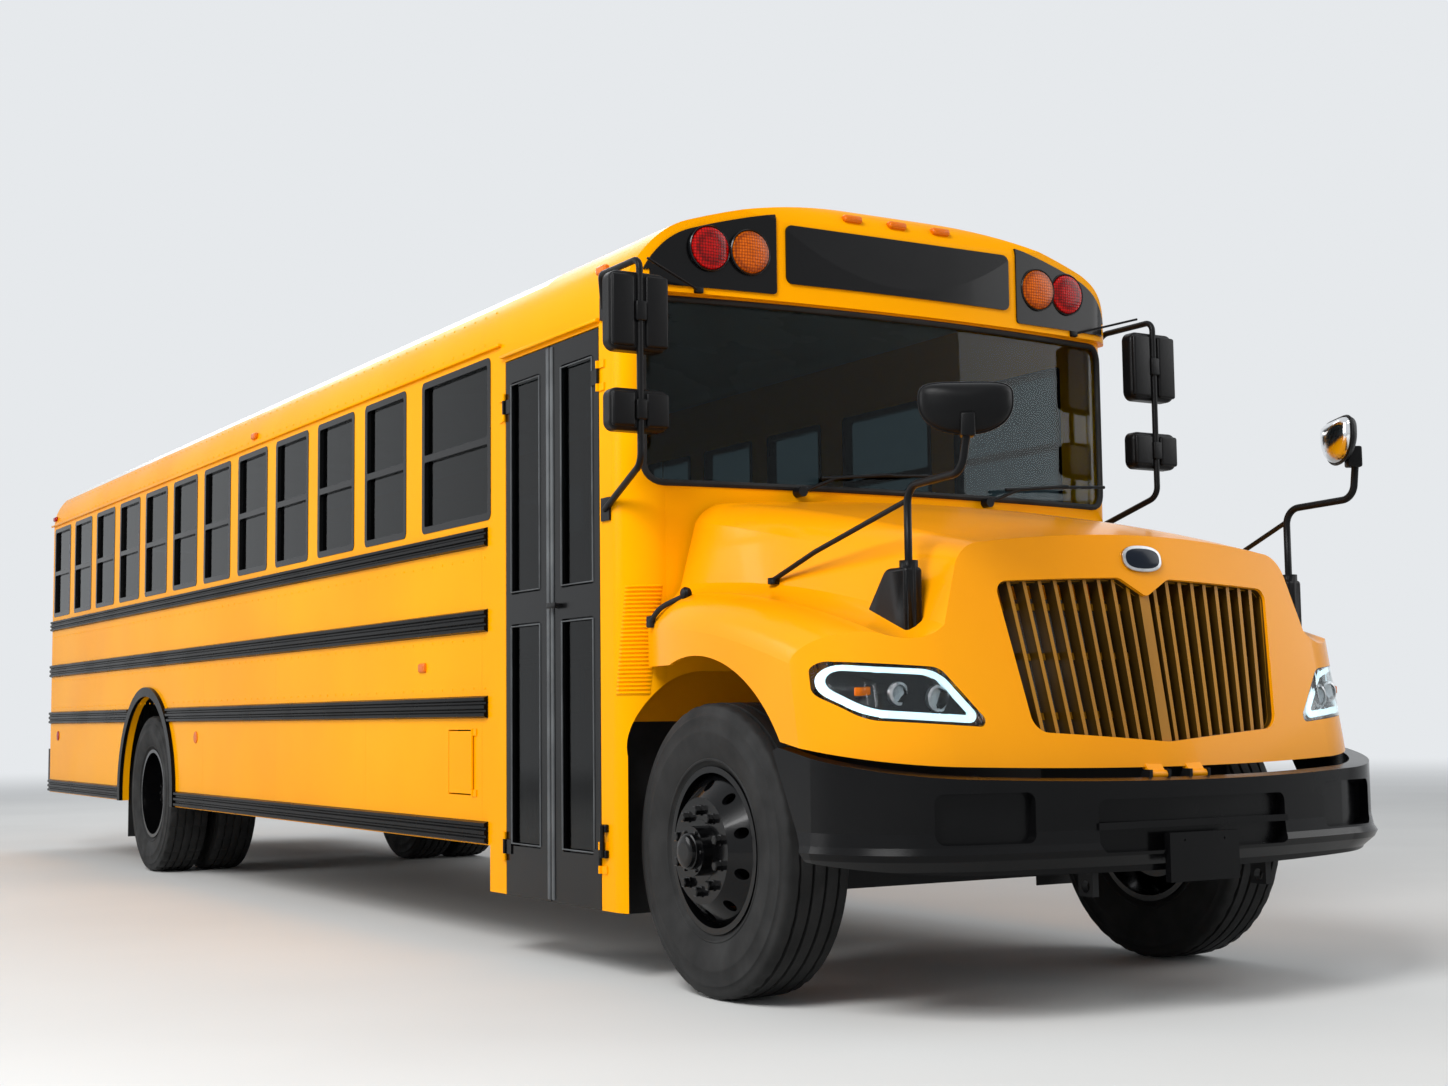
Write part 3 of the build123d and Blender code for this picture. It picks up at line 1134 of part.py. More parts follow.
LAMPS = (
    # x, y of the lens's front, z, radius, +1 faces rearward
    (-900, 0, 2808, 92, -1),
    (-725, 0, 2808, 92, -1),
    (725, 0, 2808, 92, -1),
    (900, 0, 2808, 92, -1),
    (-855, 0, 2700, 80, 1),
    (-665, 0, 2700, 80, 1),
    (665, 0, 2700, 80, 1),
    (855, 0, 2700, 80, 1),
)


def warning_lamps():
    """Round warning lamps, red outboard and amber inboard, front and rear."""
    lamps = []
    form = cap_form(-8 - GAP)
    proud = cap_form(-34)
    for x, y, z, radius, facing in LAMPS:
        if facing < 0:
            lamps.append((proud & cylinder_y(radius, 200, 560, x, z)) - form)
        else:
            lamps.append(cylinder_y(radius, BODY_REAR + 20 + 2 * GAP, BODY_REAR + 52, x, z))
    return lamps


def marker_lamps():
    """Small lamps: three on the cap, tail lamps and reflectors low on the rear wall."""
    lamps = []
    rear = BODY_REAR + GAP
    skin = cap_form(-22) - cap_form(-GAP)
    for x in (-223, 0, 223):
        lamps.append(skin & front_prism(rounded_window(x - 38, x + 38, 2990, 3020, 10), 200, 520))
    for side in (-1, 1):
        for x, z, radius in ((960, 1240, 88), (960, 1010, 62), (730, 1010, 62)):
            lamps.append(cylinder_y(radius, rear, rear + 34, side * x, z))
    return lamps


def engine_block():
    """The engine and gearbox as one plain mass on two mounts between the rails."""
    mass = block(-300, 300, -640, ENGINE_REAR, 560, 1360)
    arms = block(-FRAME_HALF + FRAME_WEB + GAP, FRAME_HALF - FRAME_WEB - GAP, -240, -140, 700, 760)
    return mass + arms


def radiator():
    """The radiator core on top of the rails behind the grille."""
    return block(-430, 430, -900, -830, FRAME_TOP_Z + GAP, 1380)


def fuel_tank():
    """A box tank with rounded edges, hung between the rails behind the rear axle's shaft."""
    tank = block(-HALF + 120, -FRAME_HALF - GAP, 2020, 3420, 520, 860)
    return fillet(tank.edges().filter_by(Axis.Y), 60)


def drive_shaft():
    """One long shaft from the engine's rear down to the axle's snout."""
    path = Line((0, at(ENGINE_REAR + 1), 620), (0, at(WHEELBASE - 331), AXLE_Z))
    section = Plane(origin=path @ 0, z_dir=path % 0) * Circle(48)
    return sweep(section, path=path)


def exhaust_pipe():
    """Muffler and tail pipe outside the left rail, on hangers from it."""
    run = [(520, 1500, 560), (520, 5800, 560), (520, 6400, 760), (520, 8300, 760), (520, 8900, 390),
           (520, BODY_REAR + 60, 390)]
    pipe = tube_along(run, 45, [200, 200, 200, 200]) + cylinder_y(120, 4400, 5500, 520, 560)
    for y, z0, z1 in ((1900, 560, 690), (4500, 600, 690), (5400, 600, 690), (7900, 740, 790), (9700, 390, 690)):
        pipe = pipe + block(FRAME_HALF + GAP, 530, y - 12, y + 12, z0, z1)
    return pipe


def mud_flaps():
    """Rubber flaps behind the wheels, hung from the floor and from a cross sill."""
    top = FLOOR_TOP - FLOOR_THICKNESS - GAP
    behind_rear = SILL_FIRST + 10 * SILL_PITCH - SILL_HALF - GAP - 8
    flaps = []
    for y, x0, z0 in ((622, 860, 250), (behind_rear, 640, 200)):
        flaps.extend(both_sides(block(x0, 1165, y, y + 8, z0, top)))
    return flaps


def wipers():
    """Two wipers: pivot, arm and blade lying along the foot of the windscreen."""
    units = []
    face = plan_prism(face_plan(-GAP, SIDE_FRONT + 40), 1500, 2400)
    for x in WIPER_X:
        pivot = cylinder_y(20, FACE_CENTRE - 28, FACE_CENTRE + 40, x, WIPER_Z)
        y = FACE_CENTRE - 20
        arm = tube_along([(x, y, WIPER_Z), (x + 160, y, WIPER_Z + 62), (x + 430, y, WIPER_Z + 90)], 7, [60])
        blade = tube_along([(x + 90, y + 2, WIPER_Z + 58), (x + 400, y + 2, WIPER_Z + 84),
                            (x + 640, y + 6, WIPER_Z + 96)], 7, [60])
        units.append(one_solid([pivot, arm, blade]) - face)
    return units


def write(name, shape):
    solids = shape if isinstance(shape, list) else [shape]
    flat = []
    for item in solids:
        flat.extend(item.solids())
    export_step(Compound(children=flat) if len(flat) > 1 else flat[0], f"parts/{name}.step")


def main():
    os.makedirs("parts", exist_ok=True)
    write("side_wall_right", side_wall(-1))
    write("side_wall_left", side_wall(1))
    write("roof_panel", roof_panel())
    cap = cap_form(0)
    write("front_roof_cap", front_roof_cap(cap))
    write("front_wall", front_wall())
    write("windscreen", windscreen())
    write("rear_wall", rear_wall())
    write("floor_panel", floor_sheets() + wheel_boxes() + entrance_steps())
    write("floor_sills", floor_sills())
    frames, panes = window_units()
    rear_panes = []
    for outline in rear_window_outlines(GAP):
        rear_panes.append(front_prism(outline, BODY_REAR - 30, BODY_REAR - 30 + GLASS))
    write("window_frames", frames)
    write("window_glass", panes + rear_panes)
    write("rub_rails", rub_rails())
    for name, front in (("front", True), ("rear", False)):
        leaf, glass = door_leaf(front)
        write(f"door_leaf_{name}", leaf)
        write(f"door_glass_{name}", glass)
    door, door_glass = emergency_door()
    write("emergency_door", door)
    write("emergency_door_glass", door_glass)
    for name, y in HATCH_PLACES.items():
        write(f"roof_hatch_{name}", roof_hatch(y))
    outer = hood_form(0)
    write("hood_shell", hood_shell(outer))
    write("grille", grille())
    write("headlamps", headlamps(outer))
    write("cross_view_mirrors", cross_view_mirrors(hood_form(-GAP)))
    write("front_bumper", front_bumper())
    write("rear_bumper", rear_bumper())
    write("corner_mirrors", corner_mirrors())
    write("lamp_panels", lamp_panels())
    write("lamps", warning_lamps() + marker_lamps())
    write("wipers", wipers())
    write("stop_arm", stop_arm())
    write("fuel_flap", fuel_flap())
    write("seat_cushions", seat_cushions())
    write("seat_legs", seat_legs())
    write("seat_backs", seat_backs())
    write("dashboard", dashboard())
    write("steering_wheel", steering_wheel())
    write("frame_rails", frame_rails())
    write("engine_block", engine_block())
    write("radiator", radiator())
    write("fuel_tank", fuel_tank())
    write("drive_shaft", drive_shaft())
    write("exhaust_pipe", exhaust_pipe())
    write("mud_flaps", mud_flaps())
    write("leaf_springs", leaf_springs())
    write("front_axle", front_axle())
    write("rear_axle", rear_axle())
    knuckle_left = knuckle()
    write("knuckle_left", knuckle_left)
    write("knuckle_right", other_side(knuckle_left))
    front_wheel = FRONT_TRACK / 2
    place = Pos(0, at(0), AXLE_Z)
    rear_place = Pos(0, REAR_AXLE, AXLE_Z)
    tyre_left = place * tyre(front_wheel)
    face_x = front_wheel + WHEEL_OFFSET
    front_hub = axle_hub(KINGPIN_X + 70 + GAP, face_x + 40, face_x, HUB_RADIUS)
    rims_front = [place * rim(front_wheel, 1), place * front_hub]
    tyres_left = [rear_place * tyre(DUAL_INNER_X), rear_place * tyre(DUAL_OUTER_X)]
    dual_face = DUAL_INNER_X + WHEEL_OFFSET
    rear_hub = axle_hub(560 + GAP, dual_face + 190, dual_face, HUB_RADIUS)
    rims_rear = [rear_place * item for item in (rim(DUAL_INNER_X, 1), rim(DUAL_OUTER_X + GAP, -1), rear_hub)]
    write("front_tyre_left", tyre_left)
    write("front_tyre_right", other_side(tyre_left))
    write("front_rim_left", rims_front)
    write("front_rim_right", [other_side(item) for item in rims_front])
    write("rear_tyres_left", tyres_left)
    write("rear_tyres_right", [other_side(item) for item in tyres_left])
    write("rear_rims_left", rims_rear)
    write("rear_rims_right", [other_side(item) for item in rims_rear])


if __name__ == "__main__":
    main()
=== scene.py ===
from math import asin, atan2, cos, hypot, pi, radians, sin, sqrt

import bpy
from mathutils import Matrix, Vector
from mathutils.bvhtree import BVHTree


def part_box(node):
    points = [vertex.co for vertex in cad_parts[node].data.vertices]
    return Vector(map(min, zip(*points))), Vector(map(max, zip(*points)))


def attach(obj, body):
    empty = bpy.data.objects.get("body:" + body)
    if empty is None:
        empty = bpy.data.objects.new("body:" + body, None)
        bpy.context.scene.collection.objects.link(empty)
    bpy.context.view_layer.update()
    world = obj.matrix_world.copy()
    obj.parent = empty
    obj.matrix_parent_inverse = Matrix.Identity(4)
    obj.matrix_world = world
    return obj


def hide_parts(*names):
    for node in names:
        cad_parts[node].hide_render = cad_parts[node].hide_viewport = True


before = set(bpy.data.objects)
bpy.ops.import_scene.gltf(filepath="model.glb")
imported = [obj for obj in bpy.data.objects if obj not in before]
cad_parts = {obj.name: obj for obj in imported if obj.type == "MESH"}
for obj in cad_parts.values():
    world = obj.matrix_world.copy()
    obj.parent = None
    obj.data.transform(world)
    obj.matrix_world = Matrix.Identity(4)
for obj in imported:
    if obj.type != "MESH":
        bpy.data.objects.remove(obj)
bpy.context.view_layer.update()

# Places that the frame gives, in metres; y is counted rearward from the front axle
TYRE_LOW, TYRE_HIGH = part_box("front_tyre_left")
AXLE_Y = (TYRE_LOW.y + TYRE_HIGH.y) / 2
AXLE_Z = (TYRE_LOW.z + TYRE_HIGH.z) / 2
TYRE_RADIUS = (TYRE_HIGH.z - TYRE_LOW.z) / 2
TYRE_HALF = (TYRE_HIGH.x - TYRE_LOW.x) / 2
WHEEL_X = (TYRE_LOW.x + TYRE_HIGH.x) / 2
REAR_LOW, REAR_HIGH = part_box("rear_tyres_left")
REAR_Y = (REAR_LOW.y + REAR_HIGH.y) / 2 - AXLE_Y
DUAL_X = (REAR_LOW.x + TYRE_HALF, REAR_HIGH.x - TYRE_HALF)
SCREEN_LOW, SCREEN_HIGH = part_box("windscreen")
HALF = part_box("rear_wall")[1].x
HINGE_PROUD = 0.020
BODY_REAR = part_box("rear_wall")[1].y - AXLE_Y - HINGE_PROUD

# The body's front corners in plan
CORNER_RADIUS = 0.150
CORNER_X = HALF - CORNER_RADIUS
FACE_CENTRE = 0.360
FACE_CORNER = 0.445

SIDES = ((-1, "right"), (1, "left"))
WELD = 0.0001


def at(y):
    """A place measured rearward from the front axle, in the frame."""
    return AXLE_Y + y


# Materials

SEAM_WIDTH = 0.004
SEAM_DEPTH = -14.0
PEEL_PER_METRE = 110
PEEL_DEPTH = 0.00008
GRIT_PER_METRE = 420
CAST_GRAIN_PER_METRE = 300
VINYL_CELLS_PER_METRE = 330


def linear(hex_colour):
    """An sRGB hex colour as linear RGBA."""
    channels = [int(hex_colour[i:i + 2], 16) / 255 for i in (1, 3, 5)]
    return [c / 12.92 if c <= 0.04045 else ((c + 0.055) / 1.055) ** 2.4 for c in channels] + [1.0]


def add(tree, kind, links=(), values=(), **settings):
    """One node with its settings, its input values and its incoming links."""
    node = tree.nodes.new(kind)
    for key, value in settings.items():
        setattr(node, key, value)
    for key, value in dict(values).items():
        node.inputs[key].default_value = value
    for key, socket in dict(links).items():
        tree.links.new(socket, node.inputs[key])
    return node


def noise(tree, place, scale, detail):
    """A cloudy pattern with about so many lumps to the metre."""
    cloud = add(tree, "ShaderNodeTexNoise", {"Vector": place}, {"Scale": scale, "Detail": detail})
    return cloud.outputs["Fac"]


def between(tree, pattern, first, last, low, high):
    """One colour below a pattern's low value, another above its high value, blended between."""
    ramp = add(tree, "ShaderNodeValToRGB", {"Fac": pattern})
    for stop, position, colour in zip(ramp.color_ramp.elements, (low, high), (first, last)):
        stop.position = position
        stop.color = linear(colour)
    return ramp.outputs["Color"]


def reckon(tree, operation, links, values=()):
    """One step of arithmetic on what the sockets carry."""
    return add(tree, "ShaderNodeMath", links, values, operation=operation).outputs[0]


def begin(name, **values):
    """A named material with its shader and Object coordinates."""
    made = bpy.data.materials.new(name)
    made.use_nodes = True
    tree = made.node_tree
    shader = tree.nodes["Principled BSDF"]
    for key, value in values.items():
        shader.inputs[key.replace("_", " ")].default_value = value
    place = add(tree, "ShaderNodeTexCoord").outputs["Object"]
    return made, tree, shader, place


def mottle(tree, place, shader, light, dark, size):
    """Slow change between two near colours over patches of the given size."""
    colour = between(tree, noise(tree, place, 1 / size, 3), dark, light, 0.35, 0.65)
    tree.links.new(colour, shader.inputs["Base Color"])


def uneven(tree, place, shader, low, high, size):
    """Roughness that wanders between two values over patches of the given size."""
    spread = add(tree, "ShaderNodeMapRange", {"Value": noise(tree, place, 1 / size, 4)},
                 {"From Min": 0.3, "From Max": 0.7, "To Min": low, "To Max": high})
    tree.links.new(spread.outputs["Result"], shader.inputs["Roughness"])


def relief(tree, shader, height, depth):
    """A surface that rises and falls with a pattern, to the given depth."""
    bump = add(tree, "ShaderNodeBump", {"Height": height}, {"Distance": depth, "Strength": 1.0})
    tree.links.new(bump.outputs["Normal"], shader.inputs["Normal"])


def enamel(name, light, dark, low=0.16, high=0.26, seams=0.0, coat=0.12, gloss=0.18):
    """Sprayed enamel on steel: faint orange peel of about 9 mm, and joints between flat sheets."""
    made, tree, shader, place = begin(name, Coat_Weight=coat, Coat_Roughness=0.06, Specular_IOR_Level=gloss)
    mottle(tree, place, shader, light, dark, size=1.4)
    uneven(tree, place, shader, low, high, size=0.6)
    height = noise(tree, place, PEEL_PER_METRE, 2)
    if seams:
        parts = add(tree, "ShaderNodeSeparateXYZ", {"Vector": place})
        along = reckon(tree, "DIVIDE", {0: parts.outputs["Y"]}, {1: seams})
        share = reckon(tree, "FRACT", {0: along})
        line = reckon(tree, "LESS_THAN", {0: share}, {1: SEAM_WIDTH / seams})
        deep = reckon(tree, "MULTIPLY", {0: line}, {1: SEAM_DEPTH})
        height = reckon(tree, "ADD", {0: deep, 1: height})
    relief(tree, shader, height, PEEL_DEPTH)
    return made


def moulded(name, light, dark, rough=0.42, grain_mm=1.6, depth=0.00025):
    """Injection-moulded plastic with a fine leather-like grain that softens the highlight."""
    made, tree, shader, place = begin(name, IOR=1.48, Specular_IOR_Level=0.14)
    mottle(tree, place, shader, light, dark, size=0.5)
    uneven(tree, place, shader, rough - 0.06, rough + 0.08, size=0.3)
    grain = add(tree, "ShaderNodeTexVoronoi", {"Vector": place}, {"Scale": 1000 / grain_mm})
    relief(tree, shader, grain.outputs["Distance"], depth)
    return made


def rubber(name, light, dark, ribs_mm=0.0):
    """Moulded rubber: dull, a little dusty, with a 2.4 mm grit or the ribs of a floor."""
    made, tree, shader, place = begin(name, IOR=1.5, Specular_IOR_Level=0.3)
    mottle(tree, place, shader, light, dark, size=0.16)
    uneven(tree, place, shader, 0.62, 0.85, size=0.12)
    if ribs_mm:
        lines = add(tree, "ShaderNodeTexWave", {"Vector": place}, {"Scale": 1000 / ribs_mm / 6.283},
                    bands_direction="X")
        relief(tree, shader, lines.outputs["Fac"], 0.0015)
    else:
        relief(tree, shader, noise(tree, place, GRIT_PER_METRE, 4), 0.0006)
    return made


def sheet_glass(name, tint):
    """Tinted float glass: body colour from the tint, clear gloss, a faint film of dust."""
    made, tree, shader, place = begin(name, Transmission_Weight=1.0, IOR=1.2)
    mottle(tree, place, shader, tint, tint, size=2.0)
    uneven(tree, place, shader, 0.0, 0.006, size=0.7)
    return made


def lens(name, light, dark, glow, prism_mm):
    """Moulded polycarbonate lens with rows of small prisms inside that break up its colour."""
    made, tree, shader, place = begin(name, Roughness=0.18, Specular_IOR_Level=0.15, Coat_Weight=0.06)
    cells = add(tree, "ShaderNodeTexVoronoi", {"Vector": place},
                {"Scale": 1000 / prism_mm, "Randomness": 0.15})
    colour = between(tree, cells.outputs["Distance"], light, dark, 0.0, 0.7)
    tree.links.new(colour, shader.inputs["Base Color"])
    tree.links.new(colour, shader.inputs["Emission Color"])
    shader.inputs["Emission Strength"].default_value = glow
    relief(tree, shader, cells.outputs["Distance"], 0.0015)
    return made


def bare_metal(name, light, dark, rough, stretch=(1, 1, 1), size=0.02):
    """Bare metal with the fine lines of how it was rolled, drawn or cast."""
    made, tree, shader, place = begin(name, Metallic=1.0)
    lined = add(tree, "ShaderNodeMapping", {"Vector": place}, {"Scale": stretch}).outputs["Vector"]
    mottle(tree, lined, shader, light, dark, size)
    uneven(tree, lined, shader, rough - 0.06, rough + 0.08, size)
    relief(tree, shader, noise(tree, place, CAST_GRAIN_PER_METRE, 3), 0.0002)
    return made


def vinyl(name, light, dark):
    """Coated vinyl seat cover: soft sheen and a pebbled leather grain of about 3 mm."""
    made, tree, shader, place = begin(name, IOR=1.5, Sheen_Weight=0.1, Sheen_Roughness=0.4)
    mottle(tree, place, shader, light, dark, size=0.25)
    uneven(tree, place, shader, 0.38, 0.52, size=0.08)
    cells = add(tree, "ShaderNodeTexVoronoi", {"Vector": place}, {"Scale": VINYL_CELLS_PER_METRE},
                feature="DISTANCE_TO_EDGE")
    relief(tree, shader, cells.outputs["Distance"], 0.0008)
    return made


def glowing(name, colour, strength):
    """A moulded light guide that glows evenly from end to end."""
    made, tree, shader, place = begin(name, Roughness=0.2)
    mottle(tree, place, shader, colour, colour, size=0.02)
    shader.inputs["Emission Color"].default_value = linear(colour)
    shader.inputs["Emission Strength"].default_value = strength
    return made


# Enamel on the steel body and gelcoat on the hood: deep yellow, glossy but not like a mirror
YELLOW = enamel("school_bus_yellow_enamel", "#FAA800", "#F49E00", seams=1.422, coat=0.0, gloss=0.03)
HOOD_YELLOW = enamel("yellow_gelcoat_on_fibreglass", "#F7A004", "#F09502", 0.18, 0.27, coat=0.10, gloss=0.12)
# White roof enamel: a little chalky, with a sheet joint every window
WHITE = enamel("white_roof_enamel", "#EDEEEA", "#E2E3DF", 0.22, 0.34, seams=0.711)
# Black enamel and powder coat: near black with a soft highlight, and dull on the chassis
BLACK = enamel("black_enamel_on_steel", "#0D0D0E", "#070708", 0.18, 0.28, coat=0.08, gloss=0.14)
RAIL_BLACK = enamel("black_rub_rail_enamel", "#0C0C0D", "#060607", 0.20, 0.32, coat=0.02, gloss=0.05)
WHEEL_BLACK = enamel("black_powder_coat", "#0A0A0B", "#050506", 0.14, 0.24, coat=0.12, gloss=0.16)
CHASSIS = enamel("chassis_black_enamel", "#141415", "#0C0C0D", 0.38, 0.55, coat=0.0)
LAMP_BLACK = enamel("black_lamp_bezel", "#17181A", "#0D0E10", 0.18, 0.28)
# Painted fins and small painted parts; the fins' yellow paint is drawn darker, yellow-brown, as painted
# shade, and their flanks darker still as painted shade
FIN_SHADED_YELLOW = enamel("grille_yellow_enamel_with_painted_shade", "#B37A14", "#93620E", 0.25, 0.36)
FIN_SHADE = enamel("grille_fin_flank_painted_shade", "#4A3208", "#332205", 0.3, 0.4, coat=0.05)
STOP_RED = enamel("stop_blade_red_enamel", "#B3140F", "#9D100C", 0.25, 0.36)
BADGE_BLUE = enamel("badge_blue_black_enamel", "#101A28", "#0A121E", 0.14, 0.2, coat=0.06, gloss=0.12)
# Moulded plastics: black or charcoal, the bumper's smooth enough to shine
BUMPER_BLACK = moulded("black_polypropylene", "#0C0C0D", "#070708", 0.20, 2.2, 0.00006)
PLASTIC = moulded("grained_black_abs", "#101011", "#0A0A0B", 0.34)
CABIN = moulded("charcoal_moulded_abs", "#2C2D2F", "#212224", 0.55)
# Rubbers: dull, greyed by dust
RUBBER = rubber("moulded_black_rubber", "#1B1B1B", "#101010")
TYRE_RUBBER = rubber("tyre_rubber", "#1E1E1E", "#121212")
FLOOR_RUBBER = rubber("ribbed_floor_rubber", "#232426", "#18191A", ribs_mm=12)
SEAL_GREY = rubber("grey_epdm_rubber", "#5B5E60", "#4A4C4E")
# Glass and clear plastic: dark side panes, a paler windscreen
GLASS_DARK = sheet_glass("privacy_tinted_glass", "#3C4548")
GLASS_SCREEN = sheet_glass("laminated_windscreen_glass", "#9DB0B4")
GLASS_CLEAR = sheet_glass("clear_polycarbonate", "#EEF4F6")
# Lamp lenses: deep colour, faintly lit from inside; prisms drawn coarse enough to show
RED_LENS = lens("red_polycarbonate_lens", "#D00C06", "#4A0101", 0.14, 12.0)
AMBER_LENS = lens("amber_polycarbonate_lens", "#E06800", "#702A00", 0.12, 12.0)
SMALL_AMBER = lens("small_amber_lens", "#F07E04", "#BE5800", 0.15, 6.0)
SMALL_RED = lens("small_red_lens", "#C41410", "#8A0806", 0.05, 4.0)
CLEAR_LENS = lens("clear_reversing_lens", "#E6E8E8", "#B9BCBE", 0.0, 6.0)
LED_WHITE = glowing("white_light_guide", "#D2ECF4", 0.82)
# Sewn seat covers
VINYL = vinyl("navy_seat_vinyl", "#20304A", "#172338")
# Bare metals: grey with the lines of their making, the mirrors' coating almost flawless
CAST = bare_metal("cast_iron", "#4B4B4C", "#38383A", 0.62, size=0.05)
STEEL = bare_metal("zinc_plated_steel", "#B9BABC", "#A2A4A6", 0.34)
ALUMINISED = bare_metal("aluminised_pipe", "#9A9A98", "#80807E", 0.42, (1, 0.1, 1), 0.05)
CORE = bare_metal("radiator_core_aluminium", "#8C8D8F", "#5C5D5F", 0.45, (0.2, 1, 12), 0.01)
SPRING = bare_metal("oiled_spring_steel", "#3A3A3C", "#29292B", 0.5, (1, 0.1, 6), 0.02)
CHROME = bare_metal("first_surface_mirror", "#E4E6E8", "#DFE1E3", 0.09, size=0.6)

NODE_MATERIALS = {
    YELLOW: ("side_wall_right", "side_wall_left", "front_roof_cap", "front_wall", "rear_wall",
             "emergency_door", "fuel_flap"),
    HOOD_YELLOW: ("hood_shell",),
    WHITE: ("roof_panel", "roof_hatch_front", "roof_hatch_rear"),
    BLACK: ("window_frames", "door_leaf_front", "door_leaf_rear", "lamp_panels"),
    RAIL_BLACK: ("rub_rails",),
    CHASSIS: ("rear_bumper", "floor_sills", "frame_rails", "fuel_tank", "drive_shaft", "front_axle",
              "rear_axle"),
    WHEEL_BLACK: ("front_rim_left", "front_rim_right", "rear_rims_left", "rear_rims_right"),
    BUMPER_BLACK: ("front_bumper",),
    PLASTIC: ("cross_view_mirrors", "corner_mirrors", "wipers"),
    CABIN: ("dashboard", "steering_wheel"),
    FLOOR_RUBBER: ("floor_panel",),
    RUBBER: ("mud_flaps",),
    GLASS_DARK: ("window_glass", "door_glass_front", "door_glass_rear", "emergency_door_glass"),
    GLASS_SCREEN: ("windscreen",),
    # The grille's fins: yellow paint darkened to yellow-brown as painted shade
    FIN_SHADED_YELLOW: ("grille",),
    STOP_RED: ("stop_arm",),
    CAST: ("engine_block", "knuckle_left", "knuckle_right"),
    ALUMINISED: ("exhaust_pipe",),
    CORE: ("radiator",),
    SPRING: ("leaf_springs",),
}
# Grille faces turned further from the front than this get the darker flank colour, which is painted shade
FIN_FLANK_TURN = -0.45
TOE_BOARD_REAR = 0.625


def dress_faces(name, paint, chosen):
    """Give the chosen faces of a CAD node a second material."""
    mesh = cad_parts[name].data
    mesh.materials.append(paint)
    for face in mesh.polygons:
        if chosen(face):
            face.material_index = len(mesh.materials) - 1


def paint_nodes():
    """Every CAD node in its material; the fins' flanks darker as painted shade, the toe board yellow."""
    for paint, names in NODE_MATERIALS.items():
        for name in names:
            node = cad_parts[name]
            node.data.materials.clear()
            node.data.materials.append(paint)
    # The fins' flanks get a darker brown: painted shade
    dress_faces("grille", FIN_SHADE, lambda face: face.normal.y > FIN_FLANK_TURN)
    dress_faces("floor_panel", HOOD_YELLOW, lambda face: face.center.y < at(TOE_BOARD_REAR))


# Ways of making a piece

AXIS_TURNS = {
    "X": (0, pi / 2, 0),
    "-X": (0, -pi / 2, 0),
    "Y": (-pi / 2, 0, 0),
    "-Y": (pi / 2, 0, 0),
    "Z": (0, 0, 0),
}
FAR_AHEAD = -2.0


def in_scene(name, data):
    """A new object in the scene."""
    piece = bpy.data.objects.new(name, data)
    bpy.context.scene.collection.objects.link(piece)
    return piece


def deselect():
    """Leave edit mode and select nothing."""
    if bpy.context.object and bpy.context.object.mode != "OBJECT":
        bpy.ops.object.mode_set(mode="OBJECT")
    bpy.ops.object.select_all(action="DESELECT")


def pick(piece):
    """Select one piece alone and make it the active one."""
    deselect()
    piece.select_set(True)
    bpy.context.view_layer.objects.active = piece


def finished(piece, name, body, slot, paint, smooth=35):
    """Apply the piece's place, name it, dress it and let it ride on its body."""
    pick(piece)
    bpy.ops.object.transform_apply(location=True, rotation=True, scale=True)
    bpy.ops.object.shade_smooth_by_angle(angle=radians(smooth))
    piece.name = name
    piece.data.name = name
    piece.data.materials.clear()
    piece.data.materials.append(paint)
    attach(piece, body)
    return piece


def modified(piece, kind, **settings):
    """Add one modifier with its settings and apply it."""
    pick(piece)
    change = piece.modifiers.new(kind.title(), kind)
    for key, value in settings.items():
        setattr(change, key, value)
    bpy.ops.object.modifier_apply(modifier=change.name)
    return piece


def joined(pieces):
    """One object from several."""
    deselect()
    for piece in pieces:
        piece.select_set(True)
    bpy.context.view_layer.objects.active = pieces[0]
    bpy.ops.object.join()
    return bpy.context.view_layer.objects.active


def welded(piece, distance, outwards=True):
    """Merge vertices that lie within a distance, and turn the faces outwards."""
    pick(piece)
    bpy.ops.object.mode_set(mode="EDIT")
    bpy.ops.mesh.select_all(action="SELECT")
    bpy.ops.mesh.remove_doubles(threshold=distance)
    if outwards:
        bpy.ops.mesh.normals_make_consistent(inside=False)
    bpy.ops.mesh.select_all(action="DESELECT")
    bpy.ops.object.mode_set(mode="OBJECT")
    return piece


def cad_copy(name, distance):
    """A copy of a CAD node as a new object, its loose triangles merged."""
    return welded(in_scene(name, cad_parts[name].data.copy()), distance, outwards=False)


def rounded_block(low, high, radius=0.004, segments=2):
    """A block between two corners with rounded edges."""
    deselect()
    middle = [(a + b) / 2 for a, b in zip(low, high)]
    bpy.ops.mesh.primitive_cube_add(size=1, location=middle)
    piece = bpy.context.object
    piece.scale = [abs(b - a) for a, b in zip(low, high)]
    bpy.ops.object.transform_apply(location=True, rotation=True, scale=True)
    return modified(piece, "BEVEL", width=radius, segments=segments, limit_method="ANGLE")


def block_about(centre, half, radius=0.004, segments=2):
    """A rounded block of the given half sizes about a centre."""
    low = [c - h for c, h in zip(centre, half)]
    high = [c + h for c, h in zip(centre, half)]
    return rounded_block(low, high, radius, segments)


